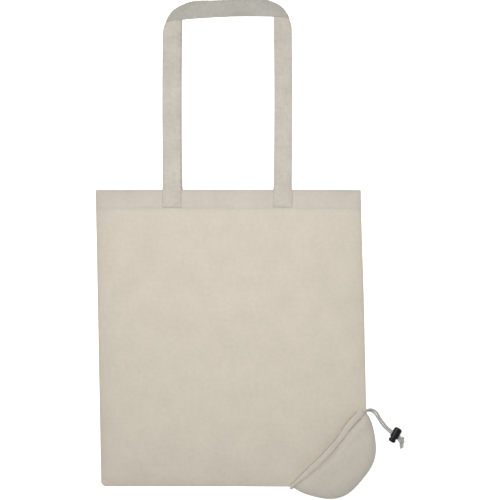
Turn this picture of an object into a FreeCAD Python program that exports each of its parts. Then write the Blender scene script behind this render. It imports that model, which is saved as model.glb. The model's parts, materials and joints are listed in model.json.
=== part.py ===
"""Foldable cotton tote bag with a drawstring stow pouch on one bottom corner.

The bag lies flat on its back: +X to the right, +Y from the bag's bottom to its handles, +Z up
from the surface that it lies on. The origin is the middle of the bag's footprint, on that surface.
Millimetres. The cloth body folds in half across fold_y, so each panel is a lower and an upper
sheet, and each handle is a loop that swings on the two ends sewn to the hem.
"""

import FreeCAD
import Part
import Sketcher
import math
import os

from FreeCAD import Placement, Rotation, Vector

doc = FreeCAD.newDocument("ToteBag")

# name: millimetres, or degrees where the name ends in _deg
DRIVING = {
    # bag body
    "bag_width": 360.0,
    "bag_height": 402.0,
    "top_y": 81.0,           # the mouth's edge
    "mouth_x": -10.5,        # the middle of the mouth
    "lean": 7.6,             # how far the bottom edge lies to the right of the mouth
    "cloth": 0.6,
    "hem_height": 25.0,
    "hem_cloth": 1.2,        # two layers
    "rest_z": 1.7,           # underside of the back panel
    "seam_width": 8.0,       # of the raw edges that lie inside the bag
    "loft_z": 9.4,           # underside of the front panel's level middle
    "slope": 60.0,           # width of the sloping edge between seam and level middle
    # handles
    "strap_width": 24.5,
    "strap_thick": 1.5,
    "strap_spacing": 149.0,
    "handle_top_y": 340.0,
    "handle_gap": 1.0,       # between a sewn end and its loop
    "handle_bottom_z": 0.1,
    "handle_drop": 60.0,     # length over which the front handle comes down to the floor
    "lying_gap": 0.3,        # between the two handles where they lie on one another
    "fold_flare": 1.0,       # the legs widen by this much at the top corners' folds
    "left_fold_low": 43.0,   # from the top edge down to the left corner's fold, at its outer end
    "left_fold_high": 8.0,   # and at its inner end
    "right_fold_high": 23.0,
    "right_fold_low": 40.0,
    "bar_sag": 2.4,
    "inner_corner_drop": 4.0,
    # pouch
    "pouch_x": 124.3,        # the middle of its mouth
    "pouch_y": -268.2,
    "pouch_turn_deg": 45.4,
    "pouch_half": 69.0,
    "pouch_depth": 65.3,
    "pouch_rim_z": 5.4,
    "pouch_top_z": 12.6,
    "corner_z": 4.0,         # underside of the bag's corner inside the pouch
    "casing_near": 60.0,     # from the mouth's middle to the end that the cord comes out of
    "casing_far": 71.0,      # and to the end where the cord turns back under the bag
    "casing_width": 10.0,
    "casing_back_thick": 3.8,
    "casing_front_thick": 4.0,
    "casing_cord_y": 3.5,    # from the mouth's edge to the cord's line
    "casing_bore": 3.4,
    "arch_mid_z": 11.6,
    "arch_radius": 705.0,
    # drawcord and its lock
    "cord_diameter": 2.8,
    "lock_path_x": 247.3,    # centre of the arc that the lock follows along the cord
    "lock_path_y": -197.8,
    "lock_path_radius": 61.3,
    "lock_angle_deg": 239.6,
    "lock_z": 4.5,
    "barrel_width": 11.5,
    "barrel_thick": 9.0,
    "barrel_wall": 1.3,
    "barrel_round": 3.4,     # radius of the closed end's edge
    "rim_round": 0.5,        # and of the open end's
    "lock_slot_length": 7.0,
    "lock_slot_height": 3.5,
    "plunger_gap": 0.15,
    "plunger_cap": 1.3,      # the plunger's end, between the strands and the spring
    "button_travel": 2.5,
    "button_head": 3.9,
    "head_round": 3.0,
    "spring_wire": 0.4,
    "spring_solid": 1.5,     # room left for the spring when the button is pressed home
    "knot_radius": 4.3,
    # sewing thread
    "thread": 0.2,
    "thread_width": 0.6,
    "thread_inset": 2.5,
    "hem_thread_inset": 0.2,
}

sheet = doc.addObject("Spreadsheet::Sheet", "Sizes")
for row, (alias, amount) in enumerate(DRIVING.items(), start=1):
    sheet.set(f"A{row}", alias)
    sheet.set(f"B{row}", str(amount))
    sheet.setAlias(f"B{row}", alias)
doc.recompute()


class Size:
    """A length that keeps the spreadsheet expression it came from beside its value."""

    def __init__(self, value, text):
        self.value = float(value)
        self.text = text

    def _join(self, other, sign, swap=False):
        other = other if isinstance(other, Size) else Size(other, str(other))
        a, b = (other, self) if swap else (self, other)
        worked = {
            "+": lambda: a.value + b.value,
            "-": lambda: a.value - b.value,
            "*": lambda: a.value * b.value,
            "/": lambda: a.value / b.value,
        }[sign]()
        return Size(worked, f"({a.text} {sign} {b.text})")

    def __add__(self, other):
        return self._join(other, "+")

    def __radd__(self, other):
        return self._join(other, "+", swap=True)

    def __sub__(self, other):
        return self._join(other, "-")

    def __rsub__(self, other):
        return self._join(other, "-", swap=True)

    def __mul__(self, other):
        return self._join(other, "*")

    def __rmul__(self, other):
        return self._join(other, "*", swap=True)

    def __truediv__(self, other):
        return self._join(other, "/")

    def __neg__(self):
        return Size(-self.value, f"(0 - {self.text})")


D = {alias: Size(sheet.get(alias), f"Sizes.{alias}") for alias in DRIVING}
V = {alias: size.value for alias, size in D.items()}
NODES = []


def keep(obj, label):
    """Marks a finished sub-part, whose Label names its file."""
    obj.Label = label
    NODES.append(obj)
    return obj


def bind(obj, **sizes):
    for name, size in sizes.items():
        obj.setExpression(name, size.text if isinstance(size, Size) else str(size))


def place(obj, x=0, y=0, z=0, turn=0):
    """Binds an object's place, with a turn about Z in degrees."""
    bind(obj, **{".Placement.Base.x": x, ".Placement.Base.y": y, ".Placement.Base.z": z})
    if turn:
        obj.Placement.Rotation = Rotation(Vector(0, 0, 1), 1)
        bind(obj, **{".Placement.Rotation.Angle": turn})
    return obj


def polygon_sketch(body, role, name, points):
    """A closed outline on one of the body's origin planes, each corner bound to two sizes."""
    sketch = body.newObject("Sketcher::SketchObject", name)
    plane = next(f for f in body.Origin.OriginFeatures if f.Role == role)
    sketch.AttachmentSupport = [(plane, "")]
    sketch.MapMode = "FlatFace"
    points = [[p if isinstance(p, Size) else Size(p, str(p)) for p in pair] for pair in points]
    count = len(points)
    for i, (a, b) in enumerate(zip(points, points[1:] + points[:1])):
        start, end = Vector(a[0].value, a[1].value, 0), Vector(b[0].value, b[1].value, 0)
        sketch.addGeometry(Part.LineSegment(start, end), False)
    for i in range(count):
        sketch.addConstraint(Sketcher.Constraint("Coincident", i, 2, (i + 1) % count, 1))
    for i, (x, y) in enumerate(points):
        for kind, size in (("DistanceX", x), ("DistanceY", y)):
            n = sketch.addConstraint(Sketcher.Constraint(kind, -1, 1, i, 1, size.value))
            sketch.setExpression(f"Constraints[{n}]", size.text)
    return sketch


def pad(body, sketch, length, name="Pad"):
    made = body.newObject("PartDesign::Pad", name)
    made.Profile = sketch
    bind(made, Length=length)
    return made


def box(name, x, y, z, length, width, height):
    made = doc.addObject("Part::Box", name)
    bind(made, Length=length, Width=width, Height=height)
    return place(made, x, y, z)


def joined(name, parts):
    """Several solids as one node, fused where they touch."""
    made = doc.addObject("Part::MultiFuse", name)
    made.Shapes = parts
    return made


def feature(label, shape, placement=None):
    """A sub-part whose shape no parametric feature gives."""
    made = doc.addObject("Part::Feature", label)
    made.Shape = shape
    if placement:
        made.Placement = placement
    return keep(made, label)


# --- bag body -------------------------------------------------------------------------------

bottom_y = D["top_y"] - D["bag_height"]
fold_y = D["top_y"] - D["bag_height"] / 2
hem_y = D["top_y"] - D["hem_height"]
half = D["bag_width"] / 2
flat_half = half - D["slope"]


def middle_x(y):
    """The x of the bag's centre line at height y: the bag leans to the right towards its bottom."""
    return D["mouth_x"] + D["lean"] * (D["top_y"] - y) / D["bag_height"]


def band(name, y_low, y_high, z, thickness):
    """A level sheet across the bag between two heights."""
    body = doc.addObject("PartDesign::Body", name)
    outline = [
        (middle_x(y_low) - half, y_low),
        (middle_x(y_low) + half, y_low),
        (middle_x(y_high) + half, y_high),
        (middle_x(y_high) - half, y_high),
    ]
    pad(body, polygon_sketch(body, "XY_Plane", name + "_outline", outline), thickness)
    place(body, 0, 0, z)
    return keep(body, name)


def lofted_band(name, y_low, y_high, edge_z, level_z, thickness):
    """A sheet that rises from both side seams to a level middle, between two heights."""
    body = doc.addObject("PartDesign::Body", name)
    x = [middle_x(y_high) + side for side in (-half, -flat_half, flat_half, half)]
    under = [(x[0], edge_z), (x[1], level_z), (x[2], level_z), (x[3], edge_z)]
    over = [(px, pz + thickness) for px, pz in reversed(under)]
    made = pad(body, polygon_sketch(body, "XZ_Plane", name + "_section", under + over), y_high - y_low)
    made.UseCustomVector = True
    made.AlongSketchNormal = True
    made.Direction = Vector(V["lean"] / V["bag_height"], -1, 0)
    place(body, 0, y_high, 0)
    return keep(body, name)


back_top_z = D["rest_z"] + D["cloth"]
band("back_panel_upper", fold_y, hem_y, D["rest_z"], D["cloth"])
band("back_hem", hem_y, D["top_y"], D["rest_z"], D["hem_cloth"])
seam_top_z = back_top_z + D["cloth"]
lofted_band("front_panel_upper", fold_y, hem_y, seam_top_z, D["loft_z"], D["cloth"])
front_top_z = D["loft_z"] + D["cloth"]


def side_strip(name, inner_edge):
    """The raw edges of one side seam, turned into the bag."""
    body = doc.addObject("PartDesign::Body", name)
    width = D["seam_width"]
    outline = [
        (middle_x(fold_y) + inner_edge, fold_y),
        (middle_x(fold_y) + inner_edge + width, fold_y),
        (middle_x(hem_y) + inner_edge + width, hem_y),
        (middle_x(hem_y) + inner_edge, hem_y),
    ]
    pad(body, polygon_sketch(body, "XY_Plane", name + "_outline", outline), D["cloth"])
    return place(body, 0, 0, back_top_z)


side_strips = [side_strip("side_strip_left", -half), side_strip("side_strip_right", half - D["seam_width"])]
keep(joined("upper_seam_allowances", side_strips), "upper_seam_allowances")
lofted_band(
    "front_hem",
    hem_y,
    D["top_y"],
    D["rest_z"] + D["hem_cloth"],
    front_top_z - D["hem_cloth"],
    D["hem_cloth"],
)


def draped_sheet(label, facets, thickness):
    """A sheet of flat facets, each a loop of points on its underside, given an upright thickness."""
    prisms = [
        Part.Face(Part.makePolygon(loop + loop[:1])).extrude(Vector(0, 0, thickness)) for loop in facets
    ]
    return feature(label, prisms[0].multiFuse(prisms[1:]).removeSplitter())


def bag_point(side, y, z):
    """A point of the bag at a distance to the side of its centre line."""
    return Vector(middle_x(y).value + side, y, z)


pouch_frame = Placement(
    Vector(V["pouch_x"], V["pouch_y"], 0), Rotation(Vector(0, 0, 1), V["pouch_turn_deg"])
)


def pouch_point(along, depth, z):
    """A point of the pouch in the row frame: along its mouth, and down into it from the mouth's edge."""
    return pouch_frame.multVec(Vector(along, -depth, z))


fold, low, side = fold_y.value, bottom_y.value, half.value
level = flat_half.value
CORNER_CUT = 30.0  # the bag's corner inside the pouch is turned in, square to the pouch's depth
CORNER_INSET = 2.9  # and its side edge drawn in towards that corner
MOUTH_BOTTOM = 71.0  # the pouch's mouth crosses the bottom seam this far from the centre line
MOUTH_SIDE = 108.0  # and the side seam this far up
RAMP_SIDE = 182.0  # how far up the side seam the bag's corner starts to rise; along the bottom, half way


def lower_outline(edge_z, corner_z):
    """Named points of a lower panel's underside, at one height along the seams and another at the pouch."""
    right = side - CORNER_INSET
    return {
        "fold_left": bag_point(-side, fold, edge_z),
        "fold_right": bag_point(side, fold, edge_z),
        "bottom_left": bag_point(-side, low, edge_z),
        "ramp_bottom": bag_point(0, low, edge_z),
        "ramp_side": bag_point(side, low + RAMP_SIDE, edge_z),
        "mouth_bottom": bag_point(MOUTH_BOTTOM, low, corner_z),
        "mouth_side": bag_point(side, low + MOUTH_SIDE, corner_z),
        "corner_bottom": bag_point(side - CORNER_CUT, low, corner_z),
        "corner_side": bag_point(right, low + CORNER_CUT, corner_z),
    }


back = lower_outline(V["rest_z"], V["corner_z"])
lower_back = draped_sheet(
    "back_panel_lower",
    [
        [back[n] for n in ("fold_left", "bottom_left", "ramp_bottom", "ramp_side", "fold_right")],
        [back[n] for n in ("ramp_bottom", "mouth_bottom", "mouth_side")],
        [back[n] for n in ("ramp_bottom", "mouth_side", "ramp_side")],
        [back[n] for n in ("mouth_bottom", "corner_bottom", "corner_side", "mouth_side")],
    ],
    V["cloth"],
)

# The raw edges of the side and bottom seams lie on the back panel, inside the bag.
reach = V["seam_width"]
seam_loops = [
    [
        bag_point(-side, fold, 0),
        bag_point(-side, low, 0),
        bag_point(side - CORNER_CUT, low, 0),
        bag_point(side - CORNER_INSET, low + CORNER_CUT, 0),
        bag_point(side, low + MOUTH_SIDE, 0),
        bag_point(side, fold, 0),
    ],
    [
        bag_point(reach - side, fold, 0),
        bag_point(reach - side, low + reach, 0),
        bag_point(side - CORNER_CUT - reach / 2, low + reach, 0),
        bag_point(side - CORNER_INSET - reach, low + CORNER_CUT + reach / 2, 0),
        bag_point(side - reach, low + MOUTH_SIDE, 0),
        bag_point(side - reach, fold, 0),
    ],
]
outer_prism, inner_prism = [
    Part.Face(Part.makePolygon(loop + loop[:1])).extrude(Vector(0, 0, 2 * V["corner_z"]))
    for loop in seam_loops
]
seam = lower_back.Shape.translated(Vector(0, 0, V["cloth"])).common(outer_prism.cut(inner_prism))
feature("lower_seam_allowance", seam)

LEVEL_CUT = 102.0  # how far the level middle's corner by the pouch is cut back, each way
front = lower_outline(seam_top_z.value, V["corner_z"] + 2 * V["cloth"])
front["level_left"] = bag_point(-level, low + V["slope"], V["loft_z"])
front["level_fold_left"] = bag_point(-level, fold, V["loft_z"])
front["level_fold_right"] = bag_point(level, fold, V["loft_z"])
front["level_bottom"] = bag_point(level - LEVEL_CUT, low + V["slope"], V["loft_z"])
front["level_side"] = bag_point(level, low + V["slope"] + LEVEL_CUT, V["loft_z"])
draped_sheet(
    "front_panel_lower",
    [
        [front[n] for n in loop]
        for loop in (
            ("level_fold_left", "level_left", "level_bottom", "level_side", "level_fold_right"),
            ("fold_left", "bottom_left", "level_left"),
            ("fold_left", "level_left", "level_fold_left"),
            ("bottom_left", "ramp_bottom", "level_bottom"),
            ("bottom_left", "level_bottom", "level_left"),
            ("ramp_bottom", "mouth_bottom", "level_bottom"),
            ("level_bottom", "mouth_bottom", "mouth_side"),
            ("level_bottom", "mouth_side", "level_side"),
            ("level_side", "mouth_side", "ramp_side"),
            ("level_side", "ramp_side", "fold_right"),
            ("level_side", "fold_right", "level_fold_right"),
            ("mouth_bottom", "corner_bottom", "corner_side", "mouth_side"),
        )
    ],
    V["cloth"],
)

# --- handles --------------------------------------------------------------------------------

handle_x = [D["mouth_x"] + step * D["strap_spacing"] / 2 for step in (-1, 1)]
end_length = D["hem_height"] - 1.0
end_y = D["top_y"] - end_length
loop_y = D["top_y"] + D["handle_gap"]


def sewn_ends(label, z):
    """The two ends of a strap, where they lie on the hem."""
    ends = [
        box(f"{label}_{n}", x - D["strap_width"] / 2, end_y, z, D["strap_width"], end_length, D["strap_thick"])
        for n, x in enumerate(handle_x)
    ]
    return keep(joined(label, ends), label)


sewn_ends("front_handle_ends", front_top_z)
sewn_ends("back_handle_ends", D["rest_z"] - D["strap_thick"])


def handle_outline():
    """A strap laid as an arch, its two top corners folded over, seen from above."""
    w = D["strap_width"]
    flare = D["fold_flare"]
    left, right = handle_x
    top = D["handle_top_y"]
    inner_top = top - w
    outer = [
        (left - w / 2, loop_y),
        (left - w / 2 - flare, top - D["left_fold_low"]),
        (left + w / 2 + flare, top - D["left_fold_high"]),
        (left + w * 2, top - D["bar_sag"]),
        (right - w, top),
        (right + w / 2 - 3 * flare, top - D["right_fold_high"]),
        (right + w / 2, top - D["right_fold_low"]),
        (right + w / 2, loop_y),
    ]
    inner = [
        (right - w / 2, loop_y),
        (right - w / 2 + flare, inner_top),
        (right - w * 3, inner_top + D["bar_sag"]),
        (left + w / 2 + flare, inner_top - D["inner_corner_drop"]),
        (left + w / 2 - flare, inner_top - D["left_fold_high"] - D["bar_sag"] * 5),
        (left + w / 2, loop_y),
    ]
    return outer + inner


back_loop = doc.addObject("PartDesign::Body", "back_handle_loop")
pad(back_loop, polygon_sketch(back_loop, "XY_Plane", "back_handle_outline", handle_outline()), D["strap_thick"])
place(back_loop, 0, 0, D["handle_bottom_z"])
keep(back_loop, "back_handle_loop")

front_plan = doc.addObject("PartDesign::Body", "front_handle_plan")
pad(front_plan, polygon_sketch(front_plan, "XY_Plane", "front_handle_outline", handle_outline()), D["loft_z"] * 2)
front_side = doc.addObject("PartDesign::Body", "front_handle_side")
lying_z = D["handle_bottom_z"] + D["strap_thick"] + D["lying_gap"]
under = [(loop_y, front_top_z), (loop_y + D["handle_drop"], lying_z), (D["handle_top_y"] + 1, lying_z)]
over = [(y, z + D["strap_thick"]) for y, z in reversed(under)]
pad(front_side, polygon_sketch(front_side, "YZ_Plane", "front_handle_profile", under + over), D["bag_width"])
place(front_side, -half, 0, 0)
front_loop = doc.addObject("Part::Common", "front_handle_loop")
front_loop.Base = front_plan
front_loop.Tool = front_side
keep(front_loop, "front_handle_loop")

# --- pouch ----------------------------------------------------------------------------------


def pouch_outline(share, depth_start, z):
    """The pouch's U-shaped rim at a share of its full size: two flared sides and three round stretches."""
    across, deep = V["pouch_half"] * share, (V["pouch_depth"] - depth_start) * share

    def at(along, down):
        return Vector(across * along, -depth_start - deep * down, z)

    start, end = at(-1, 0), at(1, 0)
    left, right = at(-0.93, 0.22), at(0.92, 0.22)
    low_left, low_right = at(-0.35, 0.96), at(0.14, 0.985)
    edges = [
        Part.makeLine(start, left),
        Part.Arc(left, at(-0.75, 0.69), low_left).toShape(),
        Part.Arc(low_left, at(-0.11, 1.0), low_right).toShape(),
        Part.Arc(low_right, at(0.65, 0.7), right).toShape(),
        Part.makeLine(right, end),
        Part.makeLine(end, start),
    ]
    return Part.Wire(edges)


casing_edge = V["casing_cord_y"] + V["casing_width"] / 2  # the casing's inner edge, below the mouth
PLATEAU = 0.55  # size of the pouch's level top against its rim
WALL = 0.988  # inside of the pouch's wall against its outside


def pouch_solid(share, z_low, z_rim, z_top, depth_start):
    """An upright rim that leans in above to a level top."""
    rim = Part.Face(pouch_outline(share, depth_start, z_low)).extrude(Vector(0, 0, z_rim - z_low))
    ends = [pouch_outline(share, depth_start, z_rim), pouch_outline(share * PLATEAU, depth_start, z_top)]
    return rim.fuse(Part.makeLoft(ends, True, True))


pouch_base = V["cloth"]
pouch_outer = pouch_solid(1.0, pouch_base, V["pouch_rim_z"], V["pouch_top_z"], casing_edge)
pouch_inner = pouch_solid(WALL, 0.0, V["pouch_rim_z"], V["pouch_top_z"] - V["cloth"], casing_edge)
feature("pouch_front", pouch_outer.cut(pouch_inner).removeSplitter(), pouch_frame)
back_sheet = Part.Face(pouch_outline(1.0, casing_edge, 0)).extrude(Vector(0, 0, pouch_base))
feature("pouch_back", back_sheet, pouch_frame)

# The back casing: a flat tunnel that lies on the floor under the bag's corner.
casing_long = D["casing_near"] + D["casing_far"]
tunnel = box(
    "casing_tunnel",
    -D["casing_far"],
    -D["casing_cord_y"] - D["casing_width"] / 2,
    0,
    casing_long,
    D["casing_width"],
    D["casing_back_thick"],
)
doc.recompute()
rounded = doc.addObject("Part::Fillet", "casing_rounded")
rounded.Base = tunnel
long_edges = [n + 1 for n, e in enumerate(tunnel.Shape.Edges) if abs(e.Length - casing_long.value) < 0.01]
rounded.Edges = [(n, 1.5, 1.5) for n in long_edges]
cord_hole = doc.addObject("Part::Cylinder", "casing_hole")
bind(cord_hole, Radius=D["casing_bore"] / 2, Height=casing_long + 2)
cord_hole.Placement = Placement(Vector(), Rotation(Vector(0, 1, 0), 90))
place(cord_hole, -D["casing_far"] - 1, -D["casing_cord_y"], D["casing_back_thick"] / 2)
back_casing = doc.addObject("Part::Cut", "pouch_casing_back")
back_casing.Base = rounded
back_casing.Tool = cord_hole
place(back_casing, D["pouch_x"], D["pouch_y"], 0, D["pouch_turn_deg"])
keep(back_casing, "pouch_casing_back")


def stadium(width, height, centre):
    """A section across the casing: a flat oval in the plane across the mouth."""
    r, reach = height / 2, width / 2 - height / 2
    ends = [(reach, r), (reach, -r), (-reach, -r), (-reach, r)]
    p = [centre + Vector(0, y, z) for y, z in ends]
    side_in = centre + Vector(0, reach + r, 0)
    side_out = centre - Vector(0, reach + r, 0)
    edges = [
        Part.Arc(p[0], side_in, p[1]).toShape(),
        Part.makeLine(p[1], p[2]),
        Part.Arc(p[2], side_out, p[3]).toShape(),
        Part.makeLine(p[3], p[0]),
    ]
    return Part.Face(Part.Wire(edges))


arch_centre = Vector(0, -V["casing_cord_y"], V["arch_mid_z"] - V["arch_radius"])
arch_top = Vector(0, -V["casing_cord_y"], V["arch_mid_z"])
near_deg, far_deg = [math.degrees(math.asin(V[end] / V["arch_radius"])) for end in ("casing_near", "casing_far")]


def along_arch(face):
    """Carries a section at the middle of the mouth along the arch of the front casing, to both ends."""
    turned = face.copy()
    turned.rotate(arch_centre, Vector(0, 1, 0), -far_deg)
    return turned.revolve(arch_centre, Vector(0, 1, 0), far_deg + near_deg)


def disc(radius, centre, normal):
    return Part.Face(Part.Wire([Part.makeCircle(radius, centre, normal)]))


casing_shell = along_arch(stadium(V["casing_width"], V["casing_front_thick"], arch_top))
casing_hole = along_arch(disc(V["casing_bore"] / 2, arch_top, Vector(1, 0, 0)))
feature("pouch_casing_front", casing_shell.cut(casing_hole), pouch_frame)

# --- drawcord -------------------------------------------------------------------------------

cord_radius = V["cord_diameter"] / 2
back_cord_z = V["casing_back_thick"] / 2
turn_z = arch_centre.z + V["arch_radius"] * math.cos(math.radians(far_deg))  # where the arch ends


def held_loop():
    """The drawcord inside the casings: along the arch, round the bag's edge, and back under it."""
    line_y, end_x = -V["casing_cord_y"], -V["casing_far"]
    back_end = Vector(end_x, line_y, back_cord_z)
    turn_centre = Vector(end_x, line_y, (turn_z + back_cord_z) / 2)
    front_run = along_arch(disc(cord_radius, arch_top, Vector(1, 0, 0)))
    turn = disc(cord_radius, back_end, Vector(1, 0, 0)).revolve(turn_centre, Vector(0, 1, 0), 180)
    back_run = Part.makeCylinder(cord_radius, casing_long.value, back_end, Vector(1, 0, 0))
    return front_run.fuse([turn, back_run])


feature("drawcord_held_loop", held_loop(), pouch_frame)


def cord_tube(points, radius):
    """A tube along straight runs joined by tangent arcs, each as large as its two runs allow."""
    edges, radii, last = [], [], points[0]
    for before, corner, after in zip(points, points[1:], points[2:]):
        run_in, run_out = corner - before, after - corner
        half_turn = run_in.getAngle(run_out) / 2
        cut = 0.45 * min(run_in.Length, run_out.Length)
        radii.append(cut / math.tan(half_turn))
        a = corner - run_in.normalize() * cut
        b = corner + run_out.normalize() * cut
        inward = (a + b) * 0.5 - corner
        reach = radii[-1] / math.cos(half_turn) - radii[-1]
        mid = corner + inward.normalize() * reach
        edges += [Part.makeLine(last, a), Part.Arc(a, mid, b).toShape()]
        last = b
    edges.append(Part.makeLine(last, points[-1]))
    path = Part.Wire(edges)
    section = Part.Wire([Part.makeCircle(radius, points[0], points[1] - points[0])])
    tube = path.makePipeShell([section], True, True)
    print(
        "cord tube: length %.1f, radii %s, volume ratio %.4f"
        % (path.Length, [round(r, 1) for r in radii], tube.Volume / (math.pi * radius**2 * path.Length))
    )
    return tube


# Each strand's route, from the casing's end to the knot.
STRAND_FRONT = [
    Vector(168.9, -227.9, 9.0),
    Vector(173.0, -219.1, 8.9),
    Vector(181.8, -214.7, 8.0),
    Vector(190.7, -218.9, 6.3),
    Vector(195.0, -227.1, 4.8),
    Vector(198.8, -232.6, 4.5),
    Vector(204.9, -240.2, 4.5),
    Vector(212.1, -246.3, 4.5),
    Vector(219.4, -250.8, 4.5),
    Vector(223.3, -254.0, 4.5),
]
STRAND_BACK = [
    Vector(168.9, -227.9, 1.9),
    Vector(172.1, -221.5, 1.8),
    Vector(178.6, -217.9, 1.9),
    Vector(185.8, -219.3, 2.8),
    Vector(191.6, -226.5, 4.2),
    Vector(196.5, -235.2, 4.5),
    Vector(202.8, -242.3, 4.5),
    Vector(210.3, -248.7, 4.5),
    Vector(217.3, -253.0, 4.5),
    Vector(221.0, -255.8, 4.5),
]
feature("drawcord_strand_front", cord_tube(STRAND_FRONT, cord_radius))
feature("drawcord_strand_back", cord_tube(STRAND_BACK, cord_radius))

knot_centre = Vector(224.6, -258.1, V["knot_radius"])
knot = Part.makeSphere(V["knot_radius"], knot_centre)
tails = [
    Part.makeCylinder(cord_radius, 12.5, knot_centre + Vector(x, 0, -2.2), Vector(lean, -1, -0.08))
    for x, lean in ((-1.6, -0.12), (1.7, 0.14))
]
feature("drawcord_knot", knot.fuse(tails))

# --- cord lock: barrel, plunger and spring ---------------------------------------------------

lock_turn = V["lock_angle_deg"] + 90  # the lock's own X axis lies along the cord, its -Y axis to the button
lock_centre = Vector(
    V["lock_path_x"] + V["lock_path_radius"] * math.cos(math.radians(V["lock_angle_deg"])),
    V["lock_path_y"] + V["lock_path_radius"] * math.sin(math.radians(V["lock_angle_deg"])),
    V["lock_z"],
)
lock_frame = Placement(lock_centre, Rotation(Vector(0, 0, 1), lock_turn))


def oval_bar(width, thick, y_low, y_high):
    """A bar of stadium section along Y, wide along X."""
    r, reach = thick / 2, (width - thick) / 2
    p = [Vector(reach, y_low, r), Vector(reach, y_low, -r), Vector(-reach, y_low, -r), Vector(-reach, y_low, r)]
    edges = [
        Part.Arc(p[0], Vector(reach + r, y_low, 0), p[1]).toShape(),
        Part.makeLine(p[1], p[2]),
        Part.Arc(p[2], Vector(-reach - r, y_low, 0), p[3]).toShape(),
        Part.makeLine(p[3], p[0]),
    ]
    return Part.Face(Part.Wire(edges)).extrude(Vector(0, y_high - y_low, 0))


def cross_slot(length, y_middle):
    """The slot that the strands pass through, along X."""
    slot = Part.makeBox(40, length, V["lock_slot_height"], Vector(-20, y_middle - length / 2, -V["lock_slot_height"] / 2))
    return slot.makeFillet(1.6, [e for e in slot.Edges if abs(e.Length - 40) < 0.01])


def rounded_ends(solid, radius, y_at):
    edges = [e for e in solid.Edges if abs(e.BoundBox.YMin - y_at) < 0.01 and abs(e.BoundBox.YMax - y_at) < 0.01]
    return solid.makeFillet(radius, edges)


slot_half = V["lock_slot_length"] / 2
stem_top = slot_half + V["plunger_cap"]
chamber_top = stem_top + V["button_travel"] + V["spring_solid"]
barrel_top = chamber_top + V["barrel_wall"]  # the closed end, away from the button
barrel_low = -slot_half - V["barrel_wall"]
bore_width = V["barrel_width"] - 2 * V["barrel_wall"]
bore_thick = V["barrel_thick"] - 2 * V["barrel_wall"]
barrel = rounded_ends(
    oval_bar(V["barrel_width"], V["barrel_thick"], barrel_low, barrel_top), V["barrel_round"], barrel_top
)
barrel = rounded_ends(barrel, V["rim_round"], barrel_low)
barrel = barrel.cut(oval_bar(bore_width, bore_thick, barrel_low - 1, chamber_top))
barrel = barrel.cut(cross_slot(V["lock_slot_length"], 0))
feature("lock_barrel", barrel, lock_frame)

gap = V["plunger_gap"]
head_top = barrel_low - V["button_travel"] - 0.3
head_low = head_top - V["button_head"]
stem = oval_bar(bore_width - 2 * gap, bore_thick - 2 * gap, head_top - 1, stem_top)
head = oval_bar(V["barrel_width"] - 1.2, V["barrel_thick"] - 0.8, head_low, head_top)
head = rounded_ends(head, V["head_round"], head_low)
plunger_slot = V["lock_slot_length"] + V["button_travel"]
plunger = stem.fuse(head).cut(cross_slot(plunger_slot, -V["button_travel"] / 2))
feature("lock_plunger", plunger.removeSplitter(), lock_frame)

SPRING_TURNS = 2.5
spring_rise = chamber_top - stem_top - V["spring_wire"]
spring_radius = bore_thick / 2 - V["spring_wire"] / 2 - 0.5
helix = Part.makeHelix(spring_rise / SPRING_TURNS, spring_rise, spring_radius)
wire = Part.Wire([Part.makeCircle(V["spring_wire"] / 2, Vector(spring_radius, 0, 0), Vector(0, 1, 0))])
spring = Part.Wire(helix.Edges).makePipeShell([wire], True, True)
spring_seat = Placement(Vector(0, stem_top + V["spring_wire"] / 2, 0), Rotation(Vector(1, 0, 0), -90))
feature("lock_spring", spring, lock_frame.multiply(spring_seat))

# --- sewing thread --------------------------------------------------------------------------

thread_long = D["bag_width"] - 2 * D["slope"]
hem_line_y = hem_y + D["hem_thread_inset"]


def hem_thread(label, z):
    line = box(label, middle_x(hem_line_y) - thread_long / 2, hem_line_y, z, thread_long, D["thread_width"], D["thread"])
    return keep(line, label)


hem_thread("front_hem_thread", front_top_z)
hem_thread("back_hem_thread", D["rest_z"] - D["thread"])


def end_threads(label, z):
    """A sewn box on each strap end, as four thin bars."""
    inset, wide = D["thread_inset"], D["thread_width"]
    across = D["strap_width"] - 2 * inset
    up = end_length - 2 * inset
    parts = []
    for n, x in enumerate(handle_x):
        left = x - across / 2
        low_y = end_y + inset
        sides = [
            (left, low_y, across, wide),
            (left, low_y + up - wide, across, wide),
            (left, low_y, wide, up),
            (left + across - wide, low_y, wide, up),
        ]
        for k, (bx, by, length, width) in enumerate(sides):
            parts.append(box(f"{label}_{n}{k}", bx, by, z, length, width, D["thread"]))
    return keep(joined(label, parts), label)


end_threads("front_handle_threads", front_top_z + D["strap_thick"])
end_threads("back_handle_threads", D["rest_z"] - D["strap_thick"] - D["thread"])

# --- check and write ------------------------------------------------------------------------

doc.recompute()
for obj in doc.Objects:
    if {"Invalid", "Error"} & set(obj.State):
        raise RuntimeError(f"{obj.Label} failed: {obj.State}")
os.makedirs("parts", exist_ok=True)
for obj in NODES:
    shape = obj.Shape
    if shape.isNull() or not shape.isValid() or not shape.Solids:
        raise RuntimeError(f"{obj.Label} has no valid solid")
    shape.exportStep(f"parts/{obj.Label}.step")
    print(f"{obj.Label}: {len(shape.Solids)} solid(s), {shape.Volume:.1f} mm3")
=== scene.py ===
"""A foldable cotton tote bag lying flat on its back, dressed for rendering.

Lengths are in metres unless a name ends in _mm. The bag lies in the XY plane, its handles towards +Y, and
every height is above the surface that it lies on. A cloth piece is a middle surface on a grid of two
parameters, to which a thickness is given on both sides.
"""

from __future__ import annotations

import json
import logging
import math
from dataclasses import dataclass, field
from enum import Enum
from typing import Any, Callable, Sequence

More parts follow.
